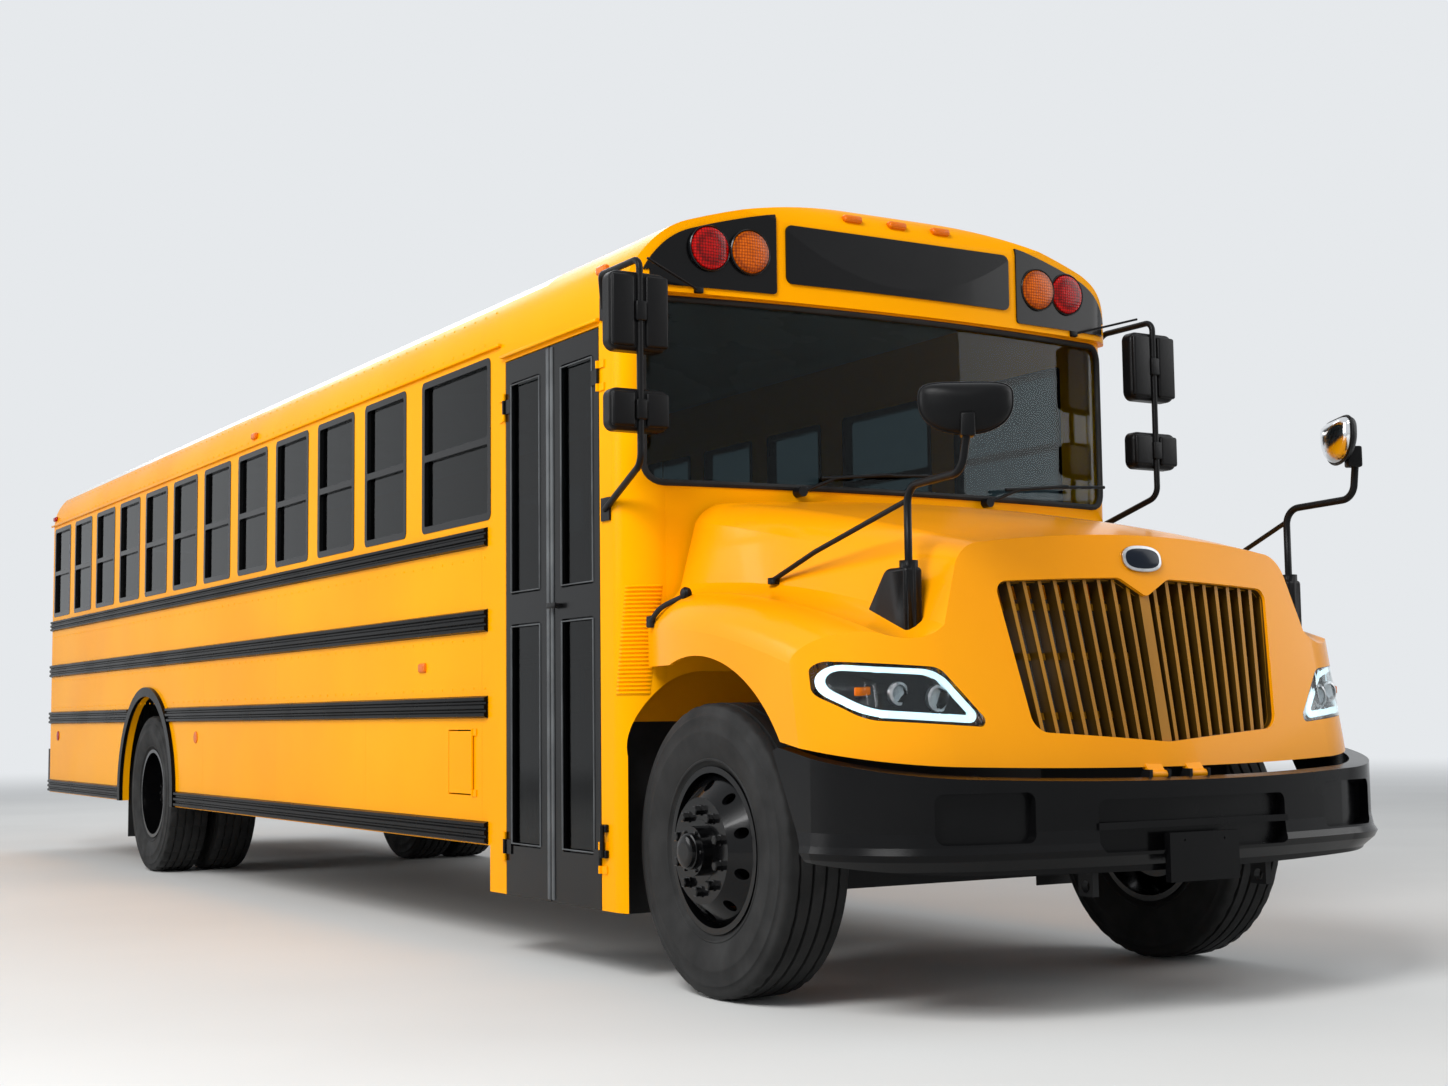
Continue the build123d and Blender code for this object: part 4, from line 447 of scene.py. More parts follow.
def turned(profile, centre, axis="X", segments=48, closed=False):
    """Turn a profile of (along, radius) round an axis through the centre, ring by ring."""
    deselect()
    bpy.ops.mesh.primitive_circle_add(vertices=segments, radius=profile[0][1], location=(0, 0, profile[0][0]))
    piece = bpy.context.object
    bpy.ops.object.mode_set(mode="EDIT")
    bpy.ops.mesh.select_all(action="SELECT")
    for (z0, r0), (z1, r1) in zip(profile, profile[1:]):
        bpy.ops.mesh.extrude_region_move(TRANSFORM_OT_translate={"value": (0, 0, z1 - z0)})
        bpy.ops.transform.resize(value=(r1 / r0, r1 / r0, 1))
    if closed:
        bpy.ops.mesh.select_all(action="SELECT")
        bpy.ops.mesh.remove_doubles(threshold=0.00001)
    else:
        bpy.ops.mesh.edge_face_add()
        bpy.ops.mesh.select_all(action="DESELECT")
        bpy.ops.mesh.select_non_manifold()
        bpy.ops.mesh.edge_face_add()
    bpy.ops.mesh.select_all(action="SELECT")
    bpy.ops.mesh.normals_make_consistent(inside=False)
    bpy.ops.object.mode_set(mode="OBJECT")
    piece.rotation_euler = AXIS_TURNS[axis]
    piece.location = centre
    bpy.ops.object.transform_apply(location=True, rotation=True, scale=True)
    return piece


def patch(columns, rows, place):
    """A grid of faces laid on a surface: place(u, v) gives each corner, u and v from 0 to 1."""
    deselect()
    bpy.ops.mesh.primitive_grid_add(x_subdivisions=columns, y_subdivisions=rows, size=1)
    piece = bpy.context.object
    for vertex in piece.data.vertices:
        vertex.co = place(vertex.co.x + 0.5, vertex.co.y + 0.5)
    return piece


def bar(points, radius, closed=False, sides=3, order=3):
    """A round bar along a route, smooth where the order is above 2."""
    deselect()
    curve = bpy.data.curves.new("bar", "CURVE")
    curve.dimensions = "3D"
    curve.bevel_depth = radius
    curve.bevel_resolution = sides
    curve.use_fill_caps = True
    spline = curve.splines.new("NURBS" if order > 2 else "POLY")
    spline.points.add(len(points) - 1)
    for point, place in zip(spline.points, points):
        point.co = (*place, 1)
    spline.use_cyclic_u = closed
    if order > 2:
        spline.order_u = order
        spline.use_endpoint_u = not closed
        spline.resolution_u = 6
    pick(in_scene("bar", curve))
    bpy.ops.object.convert(target="MESH")
    return bpy.context.object


def copied(piece, change):
    """A copy with its own mesh, moved by a matrix."""
    twin = piece.copy()
    twin.data = piece.data.copy()
    twin.data.transform(change)
    bpy.context.scene.collection.objects.link(twin)
    return twin


def surface_of(name):
    """The CAD node as a tree that can be searched for where a line meets it."""
    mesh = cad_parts[name].data
    return BVHTree.FromPolygons([v.co for v in mesh.vertices], [p.vertices for p in mesh.polygons])


def from_front(surface, x, z):
    """The point and normal where a line from the front meets a surface."""
    return surface.ray_cast(Vector((x, at(FAR_AHEAD), z)), Vector((0, 1, 0)))[:2]


def outward(side):
    """The axis that points away from the bus on one side."""
    return "X" if side > 0 else "-X"


# Tyres and wheels

TREAD_GROOVES = (0.026, 0.078)
GROOVE_HALF = 0.0055
GROOVE_DEPTH = 0.013
GROOVE_SLOPE = 0.001
CROWN_RADIUS = 0.523
TYRE_SEGMENTS = 120
BEAD_INSET = 0.037
BORE_INSET = 0.040
BORE_RADIUS = 0.290
SIDEWALL = (
    # across from the middle, radius
    (0.114, 0.312), (0.121, 0.3165), (0.1225, 0.322), (0.120, 0.326), (0.128, 0.348), (0.1345, 0.378),
    (0.1385, 0.410), (0.1395, 0.418), (0.1395, 0.424), (0.1378, 0.427), (0.1368, 0.445), (0.1335, 0.466),
    (0.1345, 0.469), (0.1335, 0.476), (0.1305, 0.479), (0.1275, 0.492), (0.1268, 0.502), (0.1225, 0.5115),
    (0.117, 0.5175), (0.108, 0.5205),
)
LUG_FOOT_RADIUS = 0.512
LUG_OUTER = 0.125
LUG_INNER = 0.012
LUG_DEPTH = 0.010
LUG_EVERY = 4
SIPE_DEPTH = 0.004
SIPE_EVERY = 3
NUT_CIRCLE = 0.14288
NUT_COUNT = 10
NUT = ((0, 0.022), (0.005, 0.022), (0.006, 0.018), (0.024, 0.018), (0.027, 0.014))
STUD = ((0.020, 0.0105), (0.040, 0.0105), (0.042, 0.008))
FRONT_DISC_INSET = 0.040
REAR_DISC_PROUD = 0.014
FRONT_CAP = ((0, 0.064), (0.012, 0.064), (0.014, 0.058), (0.026, 0.056), (0.030, 0.050), (0.0305, 0.030))
FRONT_CAP_PROUD = 0.0395
REAR_CAP = ((0, 0.080), (0.010, 0.080), (0.013, 0.074), (0.016, 0.030))
REAR_CAP_PROUD = 0.176
REAR_BOLT_PROUD = 0.186
FRONT_BOLT = ((0, 0.007), (0.007, 0.007), (0.008, 0.005))
REAR_BOLT = ((0, 0.008), (0.009, 0.008), (0.010, 0.006))


def tyre_profile():
    """Half of the section from the bead up the sidewall to the tread's middle, with raised rings."""
    bead = TYRE_HALF - BEAD_INSET
    floor = TYRE_RADIUS - GROOVE_DEPTH
    half = [(bead, 0.2925), (bead + 0.004, 0.300)] + list(SIDEWALL)
    for groove in reversed(TREAD_GROOVES):
        outer = groove + GROOVE_HALF
        inner = groove - GROOVE_HALF
        half += [(outer + GROOVE_SLOPE, 0.5222), (outer - GROOVE_SLOPE, floor),
                 (inner + GROOVE_SLOPE, floor), (inner - GROOVE_SLOPE, 0.5226)]
    return half + [(0.002, CROWN_RADIUS)]


def tyre(x, y, lugs):
    """A tyre round the X axis; lugs cuts cross grooves into its outer ribs."""
    half = [(0.0, BORE_RADIUS), (TYRE_HALF - BORE_INSET, BORE_RADIUS)] + tyre_profile()
    profile = half + [(-across, radius) for across, radius in reversed(half)]
    centre = Vector((x, at(y), AXLE_Z))
    piece = turned(profile, centre, "X", TYRE_SEGMENTS, closed=True)
    step = 2 * pi / TYRE_SEGMENTS
    rib = TREAD_GROOVES[-1] + GROOVE_HALF
    for vertex in piece.data.vertices:
        off = vertex.co - centre
        radius = hypot(off.y, off.z)
        column = round(atan2(off.z, off.y) / step)
        wide = abs(off.x)
        if radius < LUG_FOOT_RADIUS or wide > LUG_OUTER:
            continue
        deep = 0.0
        if lugs and column % LUG_EVERY == 0 and wide > LUG_INNER:
            deep = LUG_DEPTH
        elif not lugs and column % SIPE_EVERY == 0 and wide > rib:
            deep = SIPE_DEPTH
        share = (radius - deep) / radius
        vertex.co = centre + Vector((off.x, off.y * share, off.z * share))
    return piece


def wheel_circle(x, y, count, circle, half_step=0.0):
    """Places round a wheel's axis at even steps."""
    for number in range(count):
        angle = 2 * pi * (number + half_step) / count
        yield (x, at(y) + circle * cos(angle), AXLE_Z + circle * sin(angle))


def nut_ring(x, y, side):
    """Ten wheel nuts with their studs on a wheel's disc, facing outwards."""
    pieces = []
    for place in wheel_circle(x, y, NUT_COUNT, NUT_CIRCLE, 0.5):
        pieces.append(turned(NUT, place, outward(side), 6))
        pieces.append(turned(STUD, place, outward(side), 10))
    return pieces


def hub_cap(x, y, side, profile, bolt, bolt_x, count, circle):
    """A hub's cap with its ring of bolts, facing outwards."""
    pieces = [turned(profile, (x, at(y), AXLE_Z), outward(side), 40)]
    for place in wheel_circle(bolt_x, y, count, circle):
        pieces.append(turned(bolt, place, outward(side), 6))
    return pieces


def wheel_fittings():
    """Nuts and hub caps; each set turns with its wheel."""
    front_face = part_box("front_rim_left")[1].x - FRONT_DISC_INSET
    rear_face = (DUAL_X[0] + DUAL_X[1]) / 2 + REAR_DISC_PROUD
    for side, word in reversed(SIDES):
        cap_x = side * (front_face + FRONT_CAP_PROUD)
        cap = hub_cap(cap_x, 0, side, FRONT_CAP, FRONT_BOLT, cap_x, 6, 0.075)
        piece = joined(nut_ring(side * front_face, 0, side) + cap)
        finished(piece, f"front_wheel_nuts_{word}", f"front_wheel_{word}", "wheel_black", WHEEL_BLACK)
        cap_x = side * (rear_face + REAR_CAP_PROUD)
        bolt_x = side * (rear_face + REAR_BOLT_PROUD)
        cap = hub_cap(cap_x, REAR_Y, side, REAR_CAP, REAR_BOLT, bolt_x, 8, 0.064)
        piece = joined(nut_ring(side * rear_face, REAR_Y, side) + cap)
        finished(piece, f"rear_wheel_nuts_{word}", f"rear_wheels_{word}", "wheel_black", WHEEL_BLACK)


def tyres():
    """Ribbed tyres in front and pairs with cross grooves at the rear."""
    for side, word in reversed(SIDES):
        front = tyre(side * WHEEL_X, 0, False)
        finished(front, f"ribbed_tyre_{word}", f"front_wheel_{word}", "tyre", TYRE_RUBBER)
        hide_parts(f"front_tyre_{word}")
        pair = joined([tyre(side * x, REAR_Y, True) for x in DUAL_X])
        finished(pair, f"lugged_tyres_{word}", f"rear_wheels_{word}", "tyre", TYRE_RUBBER)
        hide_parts(f"rear_tyres_{word}")


# Lamps

WARNING_LAMPS = (
    # x, z, radius, faces rearward
    (0.900, 2.808, 0.092, False),
    (0.725, 2.808, 0.092, False),
    (0.855, 2.700, 0.080, True),
    (0.665, 2.700, 0.080, True),
)
LAMP_SPLIT_X = 0.79
LAMP_RING = 0.007
MARKER_X = (-0.223, 0, 0.223)
MARKER_Z = 3.005
REAR_MARKER_Z = 2.930
AMBER_SIDE_LAMPS = (
    # proud of the wall, y, z, half width, half height, depth
    (0.002, 0.66, 2.745, 0.040, 0.018, 0.014),
    (0.001, 5.10, 2.665, 0.042, 0.018, 0.014),
    (0.001, 2.504, 1.237, 0.040, 0.022, 0.012),
)
RED_SIDE_LAMP = (0.001, BODY_REAR - 0.12, 2.665, 0.042, 0.018, 0.014)
REFLECTOR = ((0, 0.038), (0.006, 0.036), (0.008, 0.020))
REFLECTOR_Z = 0.905
AMBER_REFLECTOR_Y = 6.25
RED_REFLECTOR_Y = BODY_REAR - 0.35
TAIL_LAMP = ((0, 0.084), (0.018, 0.082), (0.030, 0.060), (0.034, 0.012))
TAIL_LAMP_PLACE = (0.960, 1.240)
REAR_LAMP = ((0, 0.058), (0.016, 0.056), (0.026, 0.040), (0.029, 0.010))
REAR_LAMP_Z = 1.010
TURN_LAMP_X = 0.960
REVERSING_LAMP_X = 0.730
REAR_LAMP_PROUD = 0.0005


def warning_lamps():
    """Round lamps, red outboard and amber inboard, each a domed lens in a black ring."""
    panel = surface_of("lamp_panels")
    lenses = {"red": [], "amber": []}
    rings = []
    for x, z, radius, rearward in WARNING_LAMPS:
        inner = radius - LAMP_RING
        dome = [(0, inner), (0.010, inner), (0.017, radius * 0.88), (0.023, radius * 0.66),
                (0.026, radius * 0.36), (0.027, radius * 0.08)]
        ring = [(0, inner), (0.013, inner), (0.016, radius - 0.003), (0.013, radius), (0, radius), (0, inner)]
        for side in (-1, 1):
            if rearward:
                y, axis = at(BODY_REAR + 0.0203), "Y"
            else:
                y, axis = from_front(panel, side * x, z)[0].y + 0.004, "-Y"
            colour = "red" if x > LAMP_SPLIT_X else "amber"
            lenses[colour].append(turned(dome, (side * x, y, z), axis, 40))
            rings.append(turned(ring, (side * x, y, z), axis, 40, closed=True))
    finished(joined(lenses["red"]), "red_warning_lenses", "bus_body", "lamp_lens", RED_LENS)
    finished(joined(lenses["amber"]), "amber_warning_lenses", "bus_body", "lamp_lens", AMBER_LENS)
    lamps = finished(joined(rings), "warning_lamp_rings", "bus_body", "black_plastic", LAMP_BLACK)
    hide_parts("lamps")


def small_lamp(centre, half, radius):
    """A small lozenge lamp: a block rounded almost to its full depth."""
    return block_about(centre, half, radius, 3)


def side_lamp(side, proud, y, z, half_width, half_height, depth):
    """A small lamp that faces outwards from a side wall."""
    centre = (side * (HALF + proud), at(y), z)
    return small_lamp(centre, (depth, half_width, half_height), min(half_height, depth) * 0.8)


def marker_lamps():
    """Amber clearance lamps on the cap and roof edge, red ones at the rear, and reflectors."""
    cap = surface_of("front_roof_cap")
    amber = []
    red = []
    for x in MARKER_X:
        front_y = from_front(cap, x, MARKER_Z)[0].y - 0.004
        amber.append(small_lamp((x, front_y, MARKER_Z), (0.045, 0.020, 0.016), 0.0128))
        red.append(small_lamp((x, at(BODY_REAR + 0.008), REAR_MARKER_Z), (0.045, 0.012, 0.016), 0.0096))
    turn = []
    back = []
    for side in (-1, 1):
        amber += [side_lamp(side, *lamp) for lamp in AMBER_SIDE_LAMPS]
        amber.append(turned(REFLECTOR, (side * HALF, at(AMBER_REFLECTOR_Y), REFLECTOR_Z), outward(side), 24))
        red.append(side_lamp(side, *RED_SIDE_LAMP))
        red.append(turned(REFLECTOR, (side * HALF, at(RED_REFLECTOR_Y), REFLECTOR_Z), outward(side), 24))
        rear_y = at(BODY_REAR + REAR_LAMP_PROUD)
        red.append(turned(TAIL_LAMP, (side * TAIL_LAMP_PLACE[0], rear_y, TAIL_LAMP_PLACE[1]), "Y", 36))
        turn.append(turned(REAR_LAMP, (side * TURN_LAMP_X, rear_y, REAR_LAMP_Z), "Y", 32))
        back.append(turned(REAR_LAMP, (side * REVERSING_LAMP_X, rear_y, REAR_LAMP_Z), "Y", 32))
    finished(joined(amber), "amber_marker_lamps", "bus_body", "lamp_lens", SMALL_AMBER)
    finished(joined(red), "red_rear_lamps", "bus_body", "lamp_lens", SMALL_RED)
    finished(joined(turn), "rear_turn_lenses", "bus_body", "lamp_lens", AMBER_LENS)
    finished(joined(back), "reversing_lenses", "bus_body", "lamp_lens", CLEAR_LENS)


LAMP_CORNERS = (
    # x, z, rounding
    (1.185, 1.172, 0.062),
    (0.862, 1.146, 0.130),
    (0.700, 0.950, 0.034),
    (1.085, 0.978, 0.170),
    (1.185, 1.062, 0.075),
)
COVER_THICKNESS = 0.003
GUIDE_OUTSIDE = (0.010, 0.010, 0.010, 0.010, 0.010)
GUIDE_INSIDE = (0.028, 0.034, 0.034, 0.034, 0.028)
GUIDE_DEPTH = 0.006
BEZEL_DEPTH = 0.020
BEZEL_MIDDLE = (0.930, 1.058)
PROJECTOR_DEPTH = 0.030
PROJECTORS = (
    # x, z, radius
    (0.868, 1.046, 0.036),
    (0.985, 1.062, 0.031),
)
REFLECTOR_LOW = (0.030, 0.004, 0.014)
REFLECTOR_HIGH = (0.030, 0.006, 0.014)
SIDE_REFLECTOR = (1.078, 1.070, 0.016)


def lamp_loop(insets, steps=7):
    """The lamp's outline moved inwards side by side, as points round its arcs."""
    count = len(LAMP_CORNERS)
    lines = []
    for number in range(count):
        x0, z0, _ = LAMP_CORNERS[number]
        x1, z1, _ = LAMP_CORNERS[(number + 1) % count]
        along = Vector((x1 - x0, z1 - z0)).normalized()
        inwards = Vector((-along.y, along.x))
        lines.append((Vector((x0, z0)) + inwards * insets[number], along))
    loop = []
    for number in range(count):
        start, before = lines[number - 1]
        place, after = lines[number]
        gap = place - start
        crossing = before.x * after.y - before.y * after.x
        corner = start + before * ((gap.x * after.y - gap.y * after.x) / crossing)
        radius = max(LAMP_CORNERS[number][2] - (insets[number - 1] + insets[number]) / 2, 0.006)
        half_turn = before.angle(after) / 2
        first = corner - before * (radius * sin(half_turn) / cos(half_turn))
        centre = first + Vector((-before.y, before.x)) * radius
        start_angle = atan2(first.y - centre.y, first.x - centre.x)
        for step in range(steps + 1):
            angle = start_angle + 2 * half_turn * step / steps
            loop.append((centre.x + radius * cos(angle), centre.y + radius * sin(angle)))
    return loop


def on_lamp(skin, x, z, depth):
    """A point behind the lamp's face."""
    return Vector((x, from_front(skin, x, z)[0].y + depth, z))


def light_guide(skin, side):
    """The white band that follows the lamp's edge behind its cover."""
    loops = [[on_lamp(skin, side * x, z, GUIDE_DEPTH) for x, z in lamp_loop(insets)]
             for insets in (GUIDE_OUTSIDE, GUIDE_INSIDE)]
    count = len(loops[0])
    band = patch(count, 1, lambda u, v: loops[round(v)][round(u * count) % count])
    return modified(welded(band, WELD), "SOLIDIFY", thickness=0.006, offset=0)


def lamp_bezel(skin, side):
    """The dark plate inside the light guide, behind the projectors."""
    rim = [on_lamp(skin, side * x, z, BEZEL_DEPTH) for x, z in lamp_loop(GUIDE_INSIDE)]
    centre = on_lamp(skin, side * BEZEL_MIDDLE[0], BEZEL_MIDDLE[1], BEZEL_DEPTH)
    count = len(rim)
    plate = patch(count, 4, lambda u, v: rim[round(u * count) % count].lerp(centre, v))
    return modified(welded(plate, WELD), "SOLIDIFY", thickness=0.002, offset=0)


def headlamps():
    """Clear covers over dark bezels, each with a white light guide round its edge and two projectors."""
    skin = surface_of("headlamps")
    cover = modified(cad_copy("headlamps", 0.0002), "SOLIDIFY", thickness=COVER_THICKNESS, offset=-1)
    finished(cover, "headlamp_covers", "hood", "lamp_glass", GLASS_CLEAR, 40)
    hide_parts("headlamps")
    guides = []
    bezels = []
    rims = []
    eyes = []
    amber = []
    for side in (-1, 1):
        guides.append(light_guide(skin, side))
        bezels.append(lamp_bezel(skin, side))
        for x, z, radius in PROJECTORS:
            place = on_lamp(skin, side * x, z, PROJECTOR_DEPTH)
            rim = [(0, radius), (0, radius + 0.007), (0.016, radius + 0.007), (0.018, radius - 0.002),
                   (0.008, radius - 0.004)]
            eye = [(0, radius - 0.004), (0.012, radius - 0.006), (0.022, radius * 0.66), (0.026, 0.006)]
            rims.append(turned(rim, place, "-Y", 36))
            eyes.append(turned(eye, place, "-Y", 32))
        place = on_lamp(skin, side * SIDE_REFLECTOR[0], SIDE_REFLECTOR[1], SIDE_REFLECTOR[2])
        amber.append(rounded_block(place - Vector(REFLECTOR_LOW), place + Vector(REFLECTOR_HIGH)))
    finished(joined(guides), "headlamp_light_guides", "hood", "lamp_glass", LED_WHITE, 30)
    finished(joined(bezels), "headlamp_bezels", "hood", "lamp_glass", LAMP_BLACK, 30)
    finished(joined(rims), "projector_rims", "hood", "lamp_glass", STEEL)
    finished(joined(eyes), "projector_lenses", "hood", "lamp_glass", GLASS_CLEAR)
    finished(joined(amber), "headlamp_side_reflectors", "hood", "lamp_lens", SMALL_AMBER)


# Details on the body

VENT_LOW_Z = 1.080
VENT_HIGH_Z = 1.500
VENT_RIBS = 27
VENT_START = 26
VENT_SLANT = 20
VENT_SPAN = 56
VENT_PROUD = 0.001
VENT_RIB_HEIGHT = 0.008


def vents():
    """Ribbed plates that bend round the body's front corners behind the hood."""
    for side, word in SIDES:
        def place(u, v, side=side):
            """A point of the ribbed plate: u round the corner, v upwards."""
            turn = radians(VENT_START - VENT_SLANT * v) + u * radians(VENT_SPAN)
            rib = 0.5 - 0.5 * cos(2 * pi * VENT_RIBS * v)
            edge = 1.0 if 0.03 < u < 0.97 else 0.2
            radius = CORNER_RADIUS + VENT_PROUD + VENT_RIB_HEIGHT * rib * edge
            return Vector((side * (CORNER_X + radius * sin(turn)),
                           at(FACE_CORNER + CORNER_RADIUS - radius * cos(turn)),
                           VENT_LOW_Z + v * (VENT_HIGH_Z - VENT_LOW_Z)))
        piece = patch(14, VENT_RIBS * 6, place)
        if side > 0:
            piece.data.flip_normals()
        finished(piece, f"corner_vent_{word}", "bus_body", "body_paint", YELLOW, 50)


def face_y(x):
    """How far back the bowed front stands at x."""
    wide = abs(x)
    if wide > CORNER_X:
        return FACE_CORNER + CORNER_RADIUS - sqrt(max(CORNER_RADIUS ** 2 - (wide - CORNER_X) ** 2, 0))
    bow = FACE_CORNER - FACE_CENTRE
    radius = (CORNER_X ** 2 + bow ** 2) / (2 * bow)
    return FACE_CENTRE + radius - sqrt(radius ** 2 - wide ** 2)


SEAL_CORNER = 0.07
SEAL_RADIUS = 0.013
SEAL_OVERLAP = 0.004
SEAL_PROUD = 0.002
SEAL_STEPS = 20


def screen_seal():
    """The black rubber that holds the windscreen, round its whole edge."""
    x1 = SCREEN_HIGH.x + SEAL_OVERLAP
    z0 = SCREEN_LOW.z - SEAL_OVERLAP
    z1 = SCREEN_HIGH.z + SEAL_OVERLAP
    straight = x1 - SEAL_CORNER
    bottom = [(-straight + 2 * straight * number / SEAL_STEPS, z0) for number in range(SEAL_STEPS + 1)]
    right = []
    for number in range(1, 6):
        angle = pi / 2 * number / 6
        right.append((straight + SEAL_CORNER * sin(angle), z0 + SEAL_CORNER - SEAL_CORNER * cos(angle)))
    for number in range(5):
        right.append((x1, z0 + SEAL_CORNER + (z1 - z0 - 2 * SEAL_CORNER) * number / 4))
    for number in range(1, 6):
        angle = pi / 2 * number / 6
        right.append((straight + SEAL_CORNER * cos(angle), z1 - SEAL_CORNER + SEAL_CORNER * sin(angle)))
    top = [(-x, z1) for x, _ in bottom]
    left = [(-x, z) for x, z in reversed(right)]
    points = [(x, at(face_y(x)) + SEAL_PROUD, z) for x, z in bottom + right + top + left]
    piece = bar(points, SEAL_RADIUS, closed=True, sides=2, order=2)
    finished(piece, "windscreen_rubber", "bus_body", "black_trim", RUBBER)


GUTTER_Z = (2.604, 2.618)
GUTTER_START = {"right": 1.62, "left": 0.66}
DOOR_GUTTER_Y = (0.690, 1.600)
DOOR_GUTTER_Z = (2.545, 2.560)


def drip_rails():
    """Thin gutters over the windows and over the service door."""
    pieces = []
    for side, word in SIDES:
        pieces.append(rounded_block((side * (HALF - 0.002), at(GUTTER_START[word]), GUTTER_Z[0]),
                                    (side * (HALF + 0.016), at(BODY_REAR - 0.02), GUTTER_Z[1])))
    pieces.append(rounded_block((-HALF - 0.020, at(DOOR_GUTTER_Y[0]), DOOR_GUTTER_Z[0]),
                                (-HALF + 0.002, at(DOOR_GUTTER_Y[1]), DOOR_GUTTER_Z[1])))
    finished(joined(pieces), "drip_rails", "bus_body", "body_paint", YELLOW)


BADGE_Z = 1.520
BADGE_POWER = 2.6
BADGE_LAYERS = (
    # name, slot, material, half width, half height, proud
    ("badge_rim", "spring_steel", STEEL, 0.088, 0.047, 0.010),
    ("badge_field", "body_paint", BADGE_BLUE, 0.076, 0.036, 0.013),
)


def badge():
    """A blank oval badge on the nose over the notch: a bright rim round a dark field."""
    hit, normal = from_front(surface_of("hood_shell"), 0, BADGE_Z)
    place = Matrix.Translation(hit) @ Matrix.Rotation(-atan2(normal.z, -normal.y), 4, "X")
    for name, slot, paint, half_width, half_height, proud in BADGE_LAYERS:
        deselect()
        bpy.ops.mesh.primitive_cylinder_add(vertices=48, radius=1, depth=1)
        piece = bpy.context.object
        for vertex in piece.data.vertices:
            angle = atan2(vertex.co.y, vertex.co.x)
            across = abs(cos(angle)) ** BADGE_POWER + abs(sin(angle)) ** BADGE_POWER
            reach = across ** (-1 / BADGE_POWER)
            vertex.co = Vector((cos(angle) * reach * half_width, -(vertex.co.z + 0.5) * proud,
                                sin(angle) * reach * half_height))
        piece.data.transform(place)
        modified(piece, "BEVEL", width=0.003, segments=2, limit_method="ANGLE")
        finished(welded(piece, WELD), name, "hood", slot, paint)


LATCH_KNOB = (0.200, 1.449)
LATCH_FOOT = (0.372, 1.352)
LATCH_ROUTE = (
    # share of the way, proud of the hood
    (0.0, 0.020),
    (0.35, 0.026),
    (0.7, 0.024),
    (1.0, 0.012),
)
KNOB = ((-0.020, 0.012), (-0.012, 0.022), (0.004, 0.025), (0.014, 0.019), (0.018, 0.008))


def hood_latches():
    """A rubber strap with a round knob at each rear side of the hood."""
    hood = surface_of("hood_shell")
    for side, word in SIDES:
        points = []
        for share, proud in LATCH_ROUTE:
            y = LATCH_KNOB[0] + (LATCH_FOOT[0] - LATCH_KNOB[0]) * share
            z = LATCH_KNOB[1] + (LATCH_FOOT[1] - LATCH_KNOB[1]) * share
            hit = hood.ray_cast(Vector((side * 2, at(y), z)), Vector((-side, 0, 0)))[0]
            points.append(hit + Vector((side * proud, 0, 0)))
        strap = joined([bar(points, 0.010), block_about(points[-1], (0.014, 0.016, 0.022), 0.006, 3)])
        finished(strap, f"hood_latch_{word}", "hood", "flap_rubber", RUBBER)
        knob = turned(KNOB, points[0], outward(side), 28)
        finished(knob, f"hood_latch_knob_{word}", "hood", "black_plastic", PLASTIC)


DOOR_MIDDLE = 1.140
DOOR_STRIP_Z = (0.270, 2.518)
STRIP_GAP = 0.0065
STRIP_WIDTH = 0.024
PANE_BANDS = ((0.467, 1.394), (1.520, 2.428))
SIDE_LATCH_Y = 0.662
SIDE_LATCH_STEPS = (0.462, 0.560)
HANDLE_Y = (1.046, 1.126)
HANDLE_FEET = (1.056, 1.116)


def door_trim():
    """Rubber strips where the leaves meet, gasket round each pane, side latch and grab handle."""
    for word, direction in (("front", -1), ("rear", 1)):
        edge = DOOR_MIDDLE + direction * STRIP_GAP
        strip = rounded_block((-HALF - 0.006, at(edge), DOOR_STRIP_Z[0]),
                              (-HALF + 0.010, at(edge + direction * STRIP_WIDTH), DOOR_STRIP_Z[1]))
        finished(strip, f"door_strip_{word}", f"door_{word}", "flap_rubber", SEAL_GREY)
        glass_low, glass_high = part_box(f"door_glass_{word}")
        y0, y1 = glass_low.y + 0.004, glass_high.y - 0.004
        x = -HALF - 0.001
        gaskets = []
        for z0, z1 in PANE_BANDS:
            route = [(x, y0, z0 + 0.01), (x, y1, z0 + 0.01), (x, y1, z1 - 0.01), (x, y0, z1 - 0.01)]
            gaskets.append(bar(route, 0.004, closed=True, sides=1, order=2))
        finished(joined(gaskets), f"door_gaskets_{word}", f"door_{word}", "flap_rubber", SEAL_GREY)
    latch = [rounded_block((-HALF - 0.016, at(SIDE_LATCH_Y - 0.022), z),
                           (-HALF + 0.002, at(SIDE_LATCH_Y + 0.022), z + 0.030)) for z in SIDE_LATCH_STEPS]
    latch.append(turned([(0, 0.010), (0.120, 0.010), (0.124, 0.006)],
                        (-HALF - 0.018, at(SIDE_LATCH_Y), SIDE_LATCH_STEPS[0] + 0.003), "Z", 16))
    finished(joined(latch), "door_side_latch", "bus_body", "black_trim", BLACK)
    handle = [rounded_block((-HALF - 0.030, at(HANDLE_Y[0]), 1.440), (-HALF - 0.018, at(HANDLE_Y[1]), 1.462),
                            0.005, 3)]
    for y in HANDLE_FEET:
        handle.append(block_about((-HALF - 0.008, at(y), 1.451), (0.012, 0.008, 0.008), 0.003))
    finished(joined(handle), "door_handle", "door_front", "black_plastic", PLASTIC)


RIVET_ROWS = (1.700, 1.345, 1.130, 2.640, 2.790)
RIVET_PITCH = 0.1185
RIVET_START = 1.80
RIVET_SINK = 0.0003
EAVE_Z = 2.600
EAVE_RADIUS = 0.330


